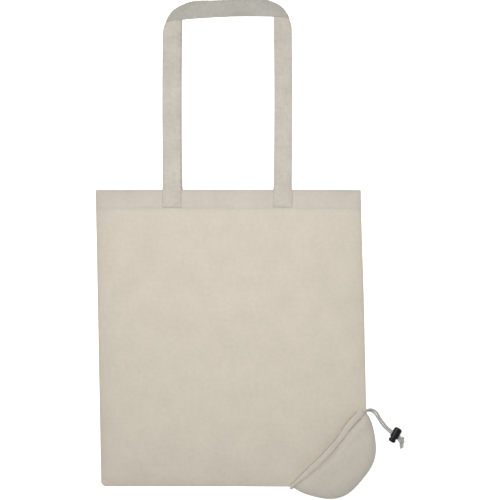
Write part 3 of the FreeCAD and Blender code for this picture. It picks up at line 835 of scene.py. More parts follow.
@dataclass
class BagShape:
    """Outline and heights of the flat bag, measured on the frame.

    Attributes:
        cloth: Thickness of one layer.
        rest: Middle height of the back cloth, clear of the straps' ends below it.
        seam: Middle height of the front cloth at the seams.
        loft: How far the front rises inside the seams.
        slope: How far in from the seams it has risen.
        corner_rise: How far both cloths rise into the pouch.
        corner_round: Radius of the corner that shows, and of the one in the pouch.
        hem_depth: From the mouth down to the hem's lower edge.
        right_flare: How far the right edge swings out below the mouth, beyond its lean.
        mouth, mouth_left, bottom, fold: Edges of the flat bag, and where it folds.
        hem_line, stitch_line: The hem's lower edge, and the row of stitches beside it.
        lean: How far the side edges run sideways for each metre down.
        width: From the left edge to the right edge at the mouth.
        pouch: Where the pouch is.
    """

    cloth: float = 0.6 * MM
    rest: float = 2.0 * MM
    seam: float = 3.2 * MM
    loft: float = 6.5 * MM
    slope: float = 62 * MM
    corner_rise: float = 2.3 * MM
    corner_round: tuple[float, float] = (7 * MM, 45 * MM)
    hem_depth: float = 25 * MM
    right_flare: float = 1.6 * MM
    mouth: float = field(init=False)
    mouth_left: float = field(init=False)
    bottom: float = field(init=False)
    fold: float = field(init=False)
    hem_line: float = field(init=False)
    stitch_line: float = field(init=False)
    lean: float = field(init=False)
    width: float = field(init=False)
    pouch: PouchPlace = field(init=False)

    def __post_init__(self) -> None:
        """Reads the bag's edges and its lean from the frame."""
        hem_low, hem_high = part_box("back_hem")
        upper_low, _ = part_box("back_panel_upper")
        lower_low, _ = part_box("back_panel_lower")
        self.mouth, self.bottom, self.fold = hem_high.y, lower_low.y, upper_low.y
        self.hem_line = self.mouth - self.hem_depth
        self.stitch_line = self.hem_line + 0.4 * MM
        self.mouth_left = hem_low.x
        self.lean = (lower_low.x - hem_low.x) / (self.mouth - self.fold)
        self.width = hem_high.x - hem_low.x - self.lean * self.hem_depth
        self.pouch = PouchPlace()

    def left(self, y: Array) -> Array:
        """The left edge: straight and leaning, with its bottom corner rounded by a quarter circle."""
        edge = self.mouth_left + self.lean * (self.mouth - y)
        return edge + self._rounding(y, self.corner_round[0])

    def right(self, y: Array) -> Array:
        """The right edge: flared below the mouth, with the larger round of the corner that is in the pouch.

        Args:
            y: Heights up the bag.

        Returns:
            The edge's x at each.
        """
        down = self.mouth - y
        flare = self.right_flare * ease(down, 10 * MM, 190 * MM)
        edge = self.mouth_left + self.width + self.lean * down + flare
        return edge - self._rounding(y, self.corner_round[1])

    def _rounding(self, y: Array, radius: float) -> Array:
        """How far a quarter circle at the bottom has drawn the edge in."""
        rise = np.clip(y - self.bottom, 0.0, radius)
        return radius - np.sqrt(np.maximum(radius**2 - (radius - rise) ** 2, 0.0))

    def corner(self, x: Array, y: Array) -> Array:
        """The rise into the pouch, over the casing at its back."""
        _, depth = self.pouch.local(x, y)
        return self.corner_rise * ease(depth, -54 * MM, -3 * MM)

    def crown(self, x: Array, y: Array) -> Array:
        """The front's rise inside the seams: 1 minus (1 - t) squared, t being the distance over the slope.

        The distance is a soft least of those to both sides, the bottom and the pouch's mouth.

        Args:
            x: Places across the bag.
            y: Places up the bag.

        Returns:
            The share risen, from 0 to 1.
        """
        _, depth = self.pouch.local(x, y)
        softness = 9 * MM
        edges = [x - self.left(y), self.right(y) - x, y - self.bottom, np.maximum(-depth - 3 * MM, 0.0)]
        nearness = sum(np.exp(-np.maximum(edge, 0.0) / softness) for edge in edges)
        distance = np.maximum(-softness * np.log(nearness + 1e-9), 0.0)
        t = np.clip(distance / self.slope, 0.0, 1.0)
        return 1.0 - (1.0 - t) ** 2

    def edge_roll(self, x: Array, y: Array) -> Array:
        """1 along the side and bottom seams, falling to 0 inside them as the cloth turns in."""
        inside = np.minimum(np.minimum(x - self.left(y), self.right(y) - x), y - self.bottom)
        return 1.0 - border_taper(inside, 1.6 * MM)

    def front(self, x: Array, y: Array) -> Array:
        """Middle height of the front cloth, with the hem's puckered stitch line sunk into it.

        Args:
            x: Places across the bag.
            y: Places up the bag.

        Returns:
            The height at each.
        """
        pucker = 1.0 + 0.5 * np.sin(x / (1.45 * MM)) * np.sin(x / (5.3 * MM))
        stitch = 0.42 * MM * bell(y, self.stitch_line, 1.1 * MM) * pucker
        body = ripples(x, y, 3, 95 * MM, 0.32 * MM) + ripples(x, y, 5, 34 * MM, 0.07 * MM)
        crown = self.crown(x, y)
        level = self.seam + self.corner(x, y) + self.loft * crown
        return level + body * crown - 0.3 * MM * self.edge_roll(x, y) - stitch * crown

    def back(self, x: Array, y: Array) -> Array:
        """Middle height of the back cloth, which lies flat."""
        soft = np.maximum(ripples(x, y, 11, 60 * MM, 0.05 * MM), -0.08 * MM)
        return self.rest + self.corner(x, y) + soft + 0.3 * MM * self.edge_roll(x, y)


@dataclass
class PouchPlace:
    """Where the pouch's mouth is, and which way it faces."""

    x: float = 124.3 * MM
    y: float = -268.2 * MM
    turn: float = math.radians(45.4)

    def local(self, x: Array, y: Array) -> tuple[Array, Array]:
        """Distances along the mouth from its middle, and down into the pouch."""
        dx, dy, cos, sin = x - self.x, y - self.y, math.cos(self.turn), math.sin(self.turn)
        return dx * cos + dy * sin, dx * sin - dy * cos

    def place(self, run: Array, depth: Array, z: Array) -> Array:
        """Points of the bag from distances along the mouth and down into the pouch.

        Args:
            run: Distances along the mouth from its middle.
            depth: Distances down into the pouch.
            z: Heights.

        Returns:
            The points.
        """
        x = self.x + run * math.cos(self.turn) + depth * math.sin(self.turn)
        y = self.y + run * math.sin(self.turn) - depth * math.cos(self.turn)
        return stack(x, y, z)


@dataclass
class Body:
    """The two cloths of the bag, their hems, seams and stitching.

    Attributes:
        shape: The flat bag's outline and heights.
        wardrobe: Makes the pieces.
        columns, rows: How many points of the grid are across the bag and up it.
        fold_reach: How far from the fold the cloth bends; it is not used.
    """

    shape: BagShape
    wardrobe: Wardrobe
    columns: int = 150
    rows: int = 190
    fold_reach: float = 13 * MM

    def sheet(self, height: Callable[[Array, Array], Array], inward: float) -> Surface:
        """One cloth from the bottom seam up to the mouth, over, and down inside as the hem.

        The hem turns in a half circle whose radius is half a layer, and then runs one layer inside.

        Args:
            height: The middle height at x and y.
            inward: 1 if the inside of the bag is below the cloth, and -1 if above.

        Returns:
            The cloth's surface, whose rows are distances along the cloth from the bottom.
        """
        shape = self.shape
        layer = shape.cloth
        rise = shape.mouth - layer / 2 - shape.bottom
        outer = spaced(0.0, rise, self.rows)
        turn = np.linspace(0.0, math.pi, 6)[1:-1]
        inner = np.linspace(0.0, shape.hem_depth - layer, 14)
        rows = np.concatenate([outer, rise + turn * layer / 2, rise + math.pi * layer / 2 + inner])
        y = shape.bottom + np.concatenate([outer, rise + np.sin(turn) * layer / 2, rise - inner])
        drop = np.concatenate([0 * outer, (1 - np.cos(turn)) * layer / 2, 0 * inner + layer])
        share = spaced(0.0, 1.0, self.columns)
        y_grid = y[:, None] + 0 * share
        x_grid = shape.left(y_grid) * (1 - share) + shape.right(y_grid) * share
        z_grid = height(x_grid, y_grid) - inward * drop[:, None]
        border = np.minimum(np.minimum(share, 1 - share) * shape.width, rows[:, None])
        border = np.minimum(border, (rows[-1] - rows)[:, None])
        cloth = stack(x_grid, rows[:, None] + 0 * share)
        half = layer / 2 * border_taper(border, layer)
        edge = np.minimum(border, np.abs(rise - rows)[:, None] + 0.6 * MM)
        return Surface(rows, share, stack(x_grid, y_grid, z_grid), half, cloth, edge)

    def build(self) -> None:
        """Makes both cloths, the seams' raw edges inside them and the hem's stitching."""
        shape = self.shape
        front, back = self.sheet(shape.front, 1.0), self.sheet(shape.back, -1.0)
        for name, surface, z in (("front", front, shape.seam), ("back", back, shape.rest)):
            nodes = [f"{name}_panel_lower", f"{name}_panel_upper", f"{name}_hem"]
            cloth = self.wardrobe.make(f"{name}_cloth", [surface.shell()], Finish.BODY, nodes)
            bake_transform(cloth)
            stitches = self.hem_stitches(surface, name)
        self.seam_edges()

    def hem_stitches(self, surface: Surface, name: str) -> bpy.types.Object:
        """One row of stitches across the bag, just inside the hem's lower edge.

        Args:
            surface: The cloth that is sewn.
            name: Which cloth it is, front or back.

        Returns:
            The stitches.
        """
        share = np.linspace(0.004, 0.996, 900)
        row = np.full_like(share, self.shape.stitch_line - self.shape.bottom)
        rows = [surface.sewn(row, share, 1.0 if name == "front" else -1.0)]
        nodes = [f"{name}_hem_thread"]
        return self.wardrobe.make(f"{name}_hem_stitches", rows, Finish.THREAD, nodes, "upper")

    def seam_edges(self) -> None:
        """The raw edges of the side and bottom seams, lying between the cloths."""
        shape, fold, inset, depth = self.shape, self.shape.fold, 1.2 * MM, 8 * MM
        spans = {"lower": (shape.bottom + 12 * MM, fold), "upper": (fold, shape.hem_line)}
        for body, (low, high) in spans.items():
            y = np.linspace(low, high, 60)[:, None]
            across = spaced(0.0, depth, 9, 0.6)[None, :]
            strips = [shape.left(y) + inset + across, shape.right(y) - inset - depth + across]
            parts = [self._strip(x, y + 0 * x, across) for x in strips]
            if body == "lower":
                left, right = shape.left(np.array(low)), shape.right(np.array(low))
                x = np.linspace(left + 10 * MM, right - 12 * MM, 90)
                y_bottom = shape.bottom + inset + across + 0 * x[:, None]
                parts.append(self._strip(x[:, None] + 0 * across, y_bottom, across))
            node = "lower_seam_allowance" if body == "lower" else "upper_seam_allowances"
            shells = [part.shell() for part in parts]
            self.wardrobe.make(f"{body}_seam_edges", shells, Finish.BODY, [node], body)

    def _strip(self, x: Array, y: Array, across: Array) -> Surface:
        """A narrow strip of cloth that lies on the back cloth.

        Args:
            x: Places of its points across the bag.
            y: Places of its points up the bag.
            across: Distances from one of its long edges.

        Returns:
            The strip.
        """
        z = self.shape.rest + self.shape.corner(x, y) + 0.62 * MM
        step = np.arange(len(x))[:, None]
        far = np.minimum(across, across[0, -1] - across)
        border = np.minimum(far, np.minimum(step, len(x) - 1 - step) * MM)
        half = 0.26 * MM * border_taper(border, 0.5 * MM)
        return Surface(step[:, 0], across[0], stack(x, y, z), half, stack(x, y), border)


@dataclass
class Strap:
    """A handle: one long strap, its ends sewn to the hem and its two top corners folded.

    A point of the flat strap is s along it and u across it. The strap runs up the left leg, folds over a
    slanting line so that the bar lies on top, folds again, and runs down the right leg.

    Attributes:
        side: Which handle it is.
        lying: Height of the legs' middle surface where they lie.
        sewn: Height of the middle surface of the sewn ends.
        corner_lift: How far the legs rise towards the folds, over the other handle.
        tilt: Slope of the bar.
        roll: How far the bar is rolled about its lower edge.
        shift: How far the bar's outline lies beyond the front handle's.
        width: Width of the strap.
        thick: Its thickness.
        bend: Radius of the cloth's middle in a fold.
        left_x: Middle of the left leg.
        right_x: Middle of the right leg.
        bar_y: Height up the bag of the first fold's middle.
        seam_u: Where across the strap its seam runs.
        seam_end: How far short of the strap's ends the seam stops.
        corner_round: How far a fold's outer corner is drawn in.
        corner_reach: How far from the corner that starts.
        arch: How far the bar bows up.
        spread: By what share the sewn ends are wider.
        end_y: Height up the bag of the strap's ends.
        first, second: The middles of the two folds.
        up, across: From the strap's left end to the first fold, and on to the second.
        length: The whole strap.
    """

    side: str
    shape: BagShape
    wardrobe: Wardrobe
    lying: float = 2.7 * MM
    sewn: float = 10.75 * MM
    corner_lift: float = 1.2 * MM
    tilt: float = math.radians(1.8)
    roll: float = math.radians(34)
    shift: float = 0.0
    width: float = 24.5 * MM
    thick: float = 1.3 * MM
    bend: float = 0.72 * MM
    left_x: float = -86.3 * MM
    right_x: float = 63.3 * MM
    bar_y: float = 323.3 * MM
    seam_u: float = 8.4 * MM
    seam_end: float = 28 * MM
    corner_round: float = 4.8 * MM
    corner_reach: float = 19 * MM
    arch: float = 2.6 * MM
    spread: float = 0.06
    end_y: float = field(init=False)
    first: Array = field(init=False)
    second: Array = field(init=False)
    up: float = field(init=False)
    across: float = field(init=False)
    length: float = field(init=False)

    def __post_init__(self) -> None:
        """Places the two folds, and the strap's length between and beyond them."""
        self.end_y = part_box(f"{self.side}_handle_ends")[0].y
        self.first = np.array([self.left_x, self.bar_y + self.shift])
        reach = self.right_x - self.left_x
        self.second = self.first + reach * np.array([1.0, math.tan(self.tilt)])
        self.up = self.first[1] - self.end_y
        self.across = float(np.linalg.norm(self.second - self.first))
        self.length = self.up + self.across + self.second[1] - self.end_y

    def _folded(self, at: Array, pivot: Array, heading: float) -> tuple[Array, Array, Array]:
        """Folds points of the plane over a line through a pivot.

        Up to the line a point stays; past it, it is reflected. Between, it goes round a half circle, and
        the fold's two corners are drawn in by the square of the nearness to them, which rounds them.

        Args:
            at: Points of the plane.
            pivot: A point of the line.
            heading: The line's angle.

        Returns:
            The folded points, how far up the half circle each has gone, from 0 to 1, and its signed
            distance past the line.
        """
        line = np.array([math.cos(heading), math.sin(heading)])
        over = np.array([-math.sin(heading), math.cos(heading)])
        rel = at - pivot
        run, past = rel @ line, rel @ over
        angle = np.clip(past / self.bend + math.pi / 2, 0.0, math.pi)
        shortened = (math.pi / 2 - 1.0) * self.bend
        quarter = math.pi / 2 * self.bend
        offset = np.where(past < -quarter, past + shortened, -past + shortened)
        offset = np.where(np.abs(past) <= quarter, self.bend * (np.sin(angle) - 1.0), offset)
        from_corner = np.hypot(np.abs(run) - self.width / math.sqrt(2), past)
        offset = offset - self.corner_round * np.clip(1.0 - from_corner / self.corner_reach, 0.0, 1.0) ** 2
        return pivot + run[..., None] * line + offset[..., None] * over, (1 - np.cos(angle)) / 2, past

    def _grid(self) -> tuple[Array, Array]:
        """Where the grid's lines cross the flat strap, close together in the folds and at the ends.

        Returns:
            Their distances along the strap, and across it.
        """
        fold_span, close, wide = 21 * MM, 0.55 * MM, 2.2 * MM
        second = self.up + self.across
        marks = [0.0, self.up - fold_span, self.up + fold_span]
        marks += [second - fold_span, second + fold_span, self.length]
        steps = (wide, close, wide, close, wide)
        runs = [np.arange(low, high, step) for low, high, step in zip(marks, marks[1:], steps)]
        ends = np.array([0.3, 0.9, 1.8]) * MM
        s = np.unique(np.concatenate([*runs, [self.length], ends, self.length - ends]))
        return s, spaced(-self.width / 2, self.width / 2, 33, 0.7)

    def surface(self) -> Surface:
        """The strap's middle surface over its flat length and width.

        The bar is rolled about its lower edge by a turn that eases in and out past the folds.

        Returns:
            The surface, whose rows are distances along the strap and whose columns are across it.
        """
        s, u = self._grid()
        grid_s, grid_u = np.meshgrid(s, u, indexing="ij")
        flat = np.stack([self.left_x + grid_u, self.end_y + grid_s], axis=-1)
        bar, first_lift, past_first = self._folded(flat, self.first, math.pi / 4 + self.tilt / 2)
        leg, second_lift, past_second = self._folded(bar, self.second, self.tilt / 2 - math.pi / 4)
        late = grid_s > self.up + self.across / 2
        at = np.where(late[..., None], leg, bar)
        x, y = at[..., 0], at[..., 1]
        before_second = np.where(late, ease(-past_second, 4 * MM, 30 * MM), 1.0)
        on_bar = ease(past_first, 4 * MM, 30 * MM) * before_second
        roll = self.roll * on_bar
        from_edge = grid_u + self.width / 2
        layer = first_lift - np.where(late, second_lift, 0.0)
        z = self._leg_height(x, y) + 2 * self.bend * layer + from_edge * np.sin(roll)
        along_bar = np.clip((x - self.left_x) / (self.right_x - self.left_x), 0.0, 1.0)
        bow = self.arch * np.sin(math.pi * along_bar) - 0.6 * MM
        y = y - from_edge * (1 - np.cos(roll)) + bow * on_bar
        rise = np.clip((y - self.shape.mouth) / (self.bar_y - self.shape.mouth), 0.0, 1.0)
        middle = (self.left_x + self.right_x) / 2
        away = np.clip((x - middle) / (self.right_x - middle), -1.0, 1.0)
        x = x + 1.2 * MM * np.sin(math.pi * rise) * away
        sewn = 1.0 - ease(y, self.shape.mouth - 1 * MM, self.shape.mouth + 5 * MM)
        x = x + grid_u * self.spread * sewn * np.where(grid_s > self.length / 2, -1.0, 1.0)
        border = np.minimum(
            np.minimum(from_edge, self.width - from_edge), np.minimum(grid_s, self.length - grid_s)
        )
        sunk = 0.16 * MM * bell(grid_u, self.seam_u, 0.8 * MM) + 0.10 * MM * bell(grid_u, 0.0, 0.5 * MM)
        half = (self.thick / 2 - sunk) * border_taper(border, 0.9 * MM)
        return Surface(s, u, stack(x, y, z), half, stack(grid_u, grid_s), border)

    def _leg_height(self, x: Array, y: Array) -> Array:
        """From the sewn end's height down to the surface past the mouth, then up to the folds.

        Args:
            x: Places across the bag.
            y: Places up the bag.

        Returns:
            The height of the legs' middle surface.
        """
        down = ease(y, self.shape.mouth + 1 * MM, self.shape.mouth + 62 * MM)
        lift = self.corner_lift * ease(y, self.bar_y - 90 * MM, self.bar_y - 15 * MM)
        crease = 1.1 * MM * bell(y, self.shape.mouth + 9.5 * MM, 1.0 * MM) * (x > 0)
        free = ease(y, self.shape.mouth, self.shape.mouth + 40 * MM)
        uneven = ripples(x, y, 17, 70 * MM, 0.12 * MM) * free
        drop = self.sewn - self.lying
        raised = drop > 2 * MM
        return self.lying + drop * (1 - down) + lift + (crease + np.maximum(uneven, -0.1 * MM)) * raised

    def build(self) -> None:
        """Makes the strap and its stitching, which bend together at the mouth."""
        surface = self.surface()
        name = f"{self.side}_handle"
        nodes = [f"{name}_ends", f"{name}_loop"]
        strap = self.wardrobe.make(f"{name}_strap", [surface.shell()], Finish.STRAP, nodes)
        edge = self._edge_stitches(surface, f"{name}_edge_stitches")
        for made in (strap, edge):
            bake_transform(made)
        self._box_stitches(surface, name)

    def _edge_stitches(self, surface: Surface, name: str) -> bpy.types.Object:
        """A row that closes the folded strap, seen on both of its sides.

        Args:
            surface: The strap.
            name: The piece's name.

        Returns:
            The stitches.
        """
        s = np.arange(self.seam_end, self.length - self.seam_end, 0.6 * MM)
        u = np.full_like(s, self.seam_u)
        rows = [surface.sewn(s, u, side) for side in (1.0, -1.0)]
        return self.wardrobe.make(name, rows, Finish.THREAD)

    def _box_stitches(self, surface: Surface, name: str) -> None:
        """A sewn box with crossing lines on each end of the strap, on its outer side.

        Args:
            surface: The strap.
            name: The handle's name.
        """
        inset, top = 3.0 * MM, 21.5 * MM
        half = self.width / 2 - inset
        corners = [(inset, -half), (inset, half), (top, half), (top, -half), (inset, -half), (top, half)]
        crossing = [(inset, half), (top, -half)]
        upper = 1.0 if surface.normal[1, 5, 2] > 0 else -1.0
        side = upper if self.side == "front" else -upper
        rows = []
        for line in (corners, crossing):
            knots = np.array([(*corner, 0.0) for corner in line])
            flat = along(knots, np.arange(0.0, lengths(knots)[-1], 0.4 * MM))
            for s in (flat[:, 0], self.length - flat[:, 0]):
                rows.append(surface.sewn(s, flat[:, 1], side, pitch=2.4 * MM))
        self.wardrobe.make(f"{name}_box_stitches", rows, Finish.THREAD, [f"{name}_threads"], "upper")


# --- the pouch -------------------------------------------------------------------------------


@dataclass
class Pouch:
    """The stow pouch: two cloths shaped as half an ellipse, and a casing along each edge of its mouth.

    Attributes:
        place: Where the mouth is.
        wardrobe: Makes the pieces.
        half_width, depth: The half axes of the ellipse.
        cloth: Thickness of one layer.
        rim: Middle height of the front cloth on its rim.
        crown: How far it rises inside the rim.
        far_end, near_end: The casings' ends along the mouth, the second of them by the cord lock.
        fullness: How much larger each way the front's flat cloth is than its outline; it is not used.
        reach: Mean distance of the outline from the middle of the mouth.
        swells: How many times each cosine waves round a full turn, and its height.
    """

    place: PouchPlace
    wardrobe: Wardrobe
    half_width: float = 70 * MM
    depth: float = 65.2 * MM
    cloth: float = 0.6 * MM
    rim: float = 0.9 * MM
    crown: float = 11.3 * MM
    far_end: float = -73.5 * MM
    near_end: float = 68 * MM
    fullness: float = 1.06
    reach: float = 68 * MM
    swells: tuple[tuple[int, float], ...] = ((1, -1.7 * MM), (2, 2.1 * MM), (3, 1.3 * MM), (6, 1.2 * MM))

    def arch(self, run: Array) -> Array:
        """Middle height of the front casing: a shallow arch over the bag's corner."""
        return 11.6 * MM - run**2 / (2 * 705 * MM)

    def puff(self, run: Array, depth: Array) -> Array:
        """Height of the front cloth: rises steeply from the rim and levels off, with gathers at the mouth.

        With q the distance in from the rim as a share of the ellipse, the rise is the root of 1 - (1 - q)
        cubed. A groove runs along the casing's inner edge, and folds fan out from it.

        Args:
            run: Distances along the mouth from its middle.
            depth: Distances down into the pouch.

        Returns:
            The height of the cloth's middle.
        """
        size = self.share_out(run, depth)
        q = np.clip((1.0 - size) / 0.42, 0.0, 1.0)
        rise = np.sqrt(np.maximum(1.0 - (1.0 - q) ** 3, 0.0))
        middle = self.seam_edge(run) + 2.0 * MM + 1.8 * MM * bell(run, -8 * MM, 26 * MM)
        groove = 1.5 * MM * bell(depth, middle, 4.4 * MM) * ease(self.half_width - np.abs(run), 0.0, 14 * MM)
        second = self.seam_edge(run) + 6.0 * MM
        groove = groove + 0.6 * MM * bell(depth, second, 1.5 * MM) * bell(run, 5 * MM, 30 * MM)
        fan = np.sin(run / (2.3 * MM) + 1.7 * np.sin(run / (9 * MM)) + depth / (16 * MM))
        gathers = 0.3 * MM * fan * bell(depth, 10 * MM, 9 * MM)
        fold = 0.5 * MM * bell(depth, 19 * MM + run * 0.09, 5 * MM) * ease(run, -45 * MM, 5 * MM)
        soft = ripples(run, depth, 23, 46 * MM, 0.30 * MM)
        shape = gathers + soft - fold - groove
        return self.rim + self.crown * rise + shape * rise

    def share_out(self, run: Array, depth: Array) -> Array:
        """How far out in the half ellipse a place is: 0 in the middle of the mouth and 1 on the rim."""
        return np.sqrt((run / self.half_width) ** 2 + (depth / self.depth) ** 2)

    def sheet(self, height: Callable[[Array, Array], Array], start: float) -> Surface:
        """A half ellipse: depth is the depth times sin(a), and its half width the half width times cos(a).

        Args:
            height: The middle height at a place along the mouth and at a depth.
            start: How far below the mouth's edge the cloth starts.

        Returns:
            The surface.
        """
        angle = np.linspace(math.asin(start / self.depth), math.pi / 2, 110)
        share = np.linspace(-1.0, 1.0, 150)
        run = self.half_width * np.cos(angle)[:, None] * np.sin(math.pi / 2 * share)[None, :]
        depth = self.depth * np.sin(angle)[:, None] + 0 * run
        z = height(run, depth)
        from_rim = np.maximum(1 - self.share_out(run, depth), 0.0) * self.depth
        border = np.minimum(from_rim, depth - start)
        half = self.cloth / 2 * border_taper(border, self.cloth)
        run, depth = self.shaped(run, depth)
        return Surface(angle, share, self.place.place(run, depth, z), half, stack(run, depth), border)

    def shaped(self, run: Array, depth: Array) -> tuple[Array, Array]:
        """Stretches the half ellipse to the pouch's own outline.

        The outline's distance from the middle of the mouth is the reach plus a few cosines of whole
        multiples of the angle, and a point is moved outwards by the square of its share of that distance.

        Args:
            run: Distances along the mouth from its middle.
            depth: Distances down into the pouch.

        Returns:
            The same distances after the stretch.
        """
        angle = np.arctan2(depth, run)
        wanted = self.reach + sum(height * np.cos(count * angle) for count, height in self.swells)
        size = self.share_out(run, depth)
        ellipse = np.hypot(run, depth) / np.maximum(size, 1e-6)
        grown = 1.0 + (wanted / ellipse - 1.0) * size**2
        return run * grown, depth * grown

    def casing(self, middle: Callable[[Array], Array], half_height: float) -> Shell:
        """A tunnel of cloth: a flattened oval carried along the mouth, outside and then back inside.

        The oval is a superellipse of power 2.6, and small gathers swell and pinch it.

        Args:
            middle: The tunnel's middle height along the mouth.
            half_height: Half its height.

        Returns:
            The faces, the points and their places on the cloth.
        """
        run = spaced(self.far_end, self.near_end, 260, 0.4)
        angle = np.linspace(0.0, math.tau, 48, endpoint=False)
        power = 2 / 2.6
        flat_x = np.sign(np.cos(angle)) * np.abs(np.cos(angle)) ** power
        flat_z = np.sign(np.sin(angle)) * np.abs(np.sin(angle)) ** power
        pinch = 1.0 + 0.05 * np.sin(run / (2.1 * MM) + 2.0 * np.sin(run / (11 * MM)))
        walls = []
        for inset, order in ((0.0, slice(None)), (0.5 * MM, slice(None, None, -1))):
            where = run[order][:, None]
            edges = self.mouth_edge(where), self.seam_edge(where)
            wide = (edges[1] - edges[0]) / 2 - inset
            tall = (half_height - inset) * (1.0 if inset else pinch[order][:, None])
            depth = (edges[0] + edges[1]) / 2 + wide * flat_x
            walls.append(self.place.place(where + 0 * depth, depth, middle(where) + tall * flat_z))
        points = np.concatenate(walls)
        faces = grid_faces(len(points), len(angle), wrap_rows=True, wrap_columns=True)
        far = np.concatenate([run, run[::-1]])
        return faces, points, stack(far[:, None], 16 * MM * angle[None, :] / math.tau)

    def mouth_edge(self, run: Array) -> Array:
        """The casing's outer edge, which bows away from the pouch towards the cord's end."""
        return -0.3 * MM - 5.6 * MM * ease(run, 10 * MM, 48 * MM) + 0.8 * MM * bell(run, -14 * MM, 9 * MM)

    def seam_edge(self, run: Array) -> Array:
        """The casing's inner edge: the casing is widest left of the middle and narrows to both ends."""
        swell = ease(run, -90 * MM, -25 * MM) * (1.0 - ease(run, -6 * MM, 58 * MM))
        return 3.2 * MM + 5.6 * MM * swell

    def build(self) -> None:
        """Makes both cloths, both casings and the stitching along the front casing."""
        back_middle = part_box("pouch_casing_back")[1].z / 2
        front = self.sheet(self.puff, 2.0 * MM)
        back = self.sheet(lambda run, depth: 0.35 * MM + 0 * run, 7.5 * MM)
        casings = {
            "front": self.casing(self.arch, 1.95 * MM),
            "back": self.casing(lambda run: back_middle + 0 * run, back_middle - 0.05 * MM),
        }
        stitches = self._casing_stitches(front)
        for name, surface, fullness in (("front", front, self.fullness), ("back", back, 1.0)):
            cloth = self.wardrobe.make(
                f"{name}_pouch_cloth", [surface.shell()], Finish.POUCH, [f"pouch_{name}"], "lower"
            )
            tunnel = self.wardrobe.make(
                f"{name}_pouch_casing", [casings[name]], Finish.POUCH, [f"pouch_casing_{name}"], "lower"
            )
            pieces = [tunnel, stitches, self._welt()] if name == "front" else [tunnel]

    def _welt(self) -> bpy.types.Object:
        """A thin roll where the casing's outer edge is turned in, coloured dark brown as a painted shadow
        line for the shade in the gap under that edge.

        Returns:
            The roll.
        """
        run = np.linspace(self.far_end + 3 * MM, self.near_end - 6 * MM, 160)
        path = self.place.place(run, self.mouth_edge(run) - 0.1 * MM, self.arch(run) + 0.2 * MM)
        lumps = 1.0 + 0.12 * np.sin(run / (1.3 * MM)) * np.sin(run / (4.1 * MM))
        shells = [tube(path, 0.62 * MM * lumps, (0.0, 0.0, 1.0), 10)]
        return self.wardrobe.make("casing_shadow_line", shells, Finish.WELT, body="lower")

    def _casing_stitches(self, front: Surface) -> bpy.types.Object:
        """The row that closes the front casing, sunk in the groove beside it.

        Args:
            front: The pouch's front cloth.

        Returns:
            The stitches.
        """
        run = np.linspace(-60 * MM, 60 * MM, 500)
        depth = self.seam_edge(run) + 0.9 * MM
        angle = np.arcsin(depth / self.depth)
        share = np.arcsin(np.clip(run / (self.half_width * np.cos(angle)), -1, 1)) / (math.pi / 2)
        side = 1.0 if front.normal[40, 75, 2] > 0 else -1.0
        rows = [front.sewn(angle, share, side)]
        return self.wardrobe.make("pouch_casing_stitches", rows, Finish.THREAD, body="lower")


# --- the drawcord ----------------------------------------------------------------------------


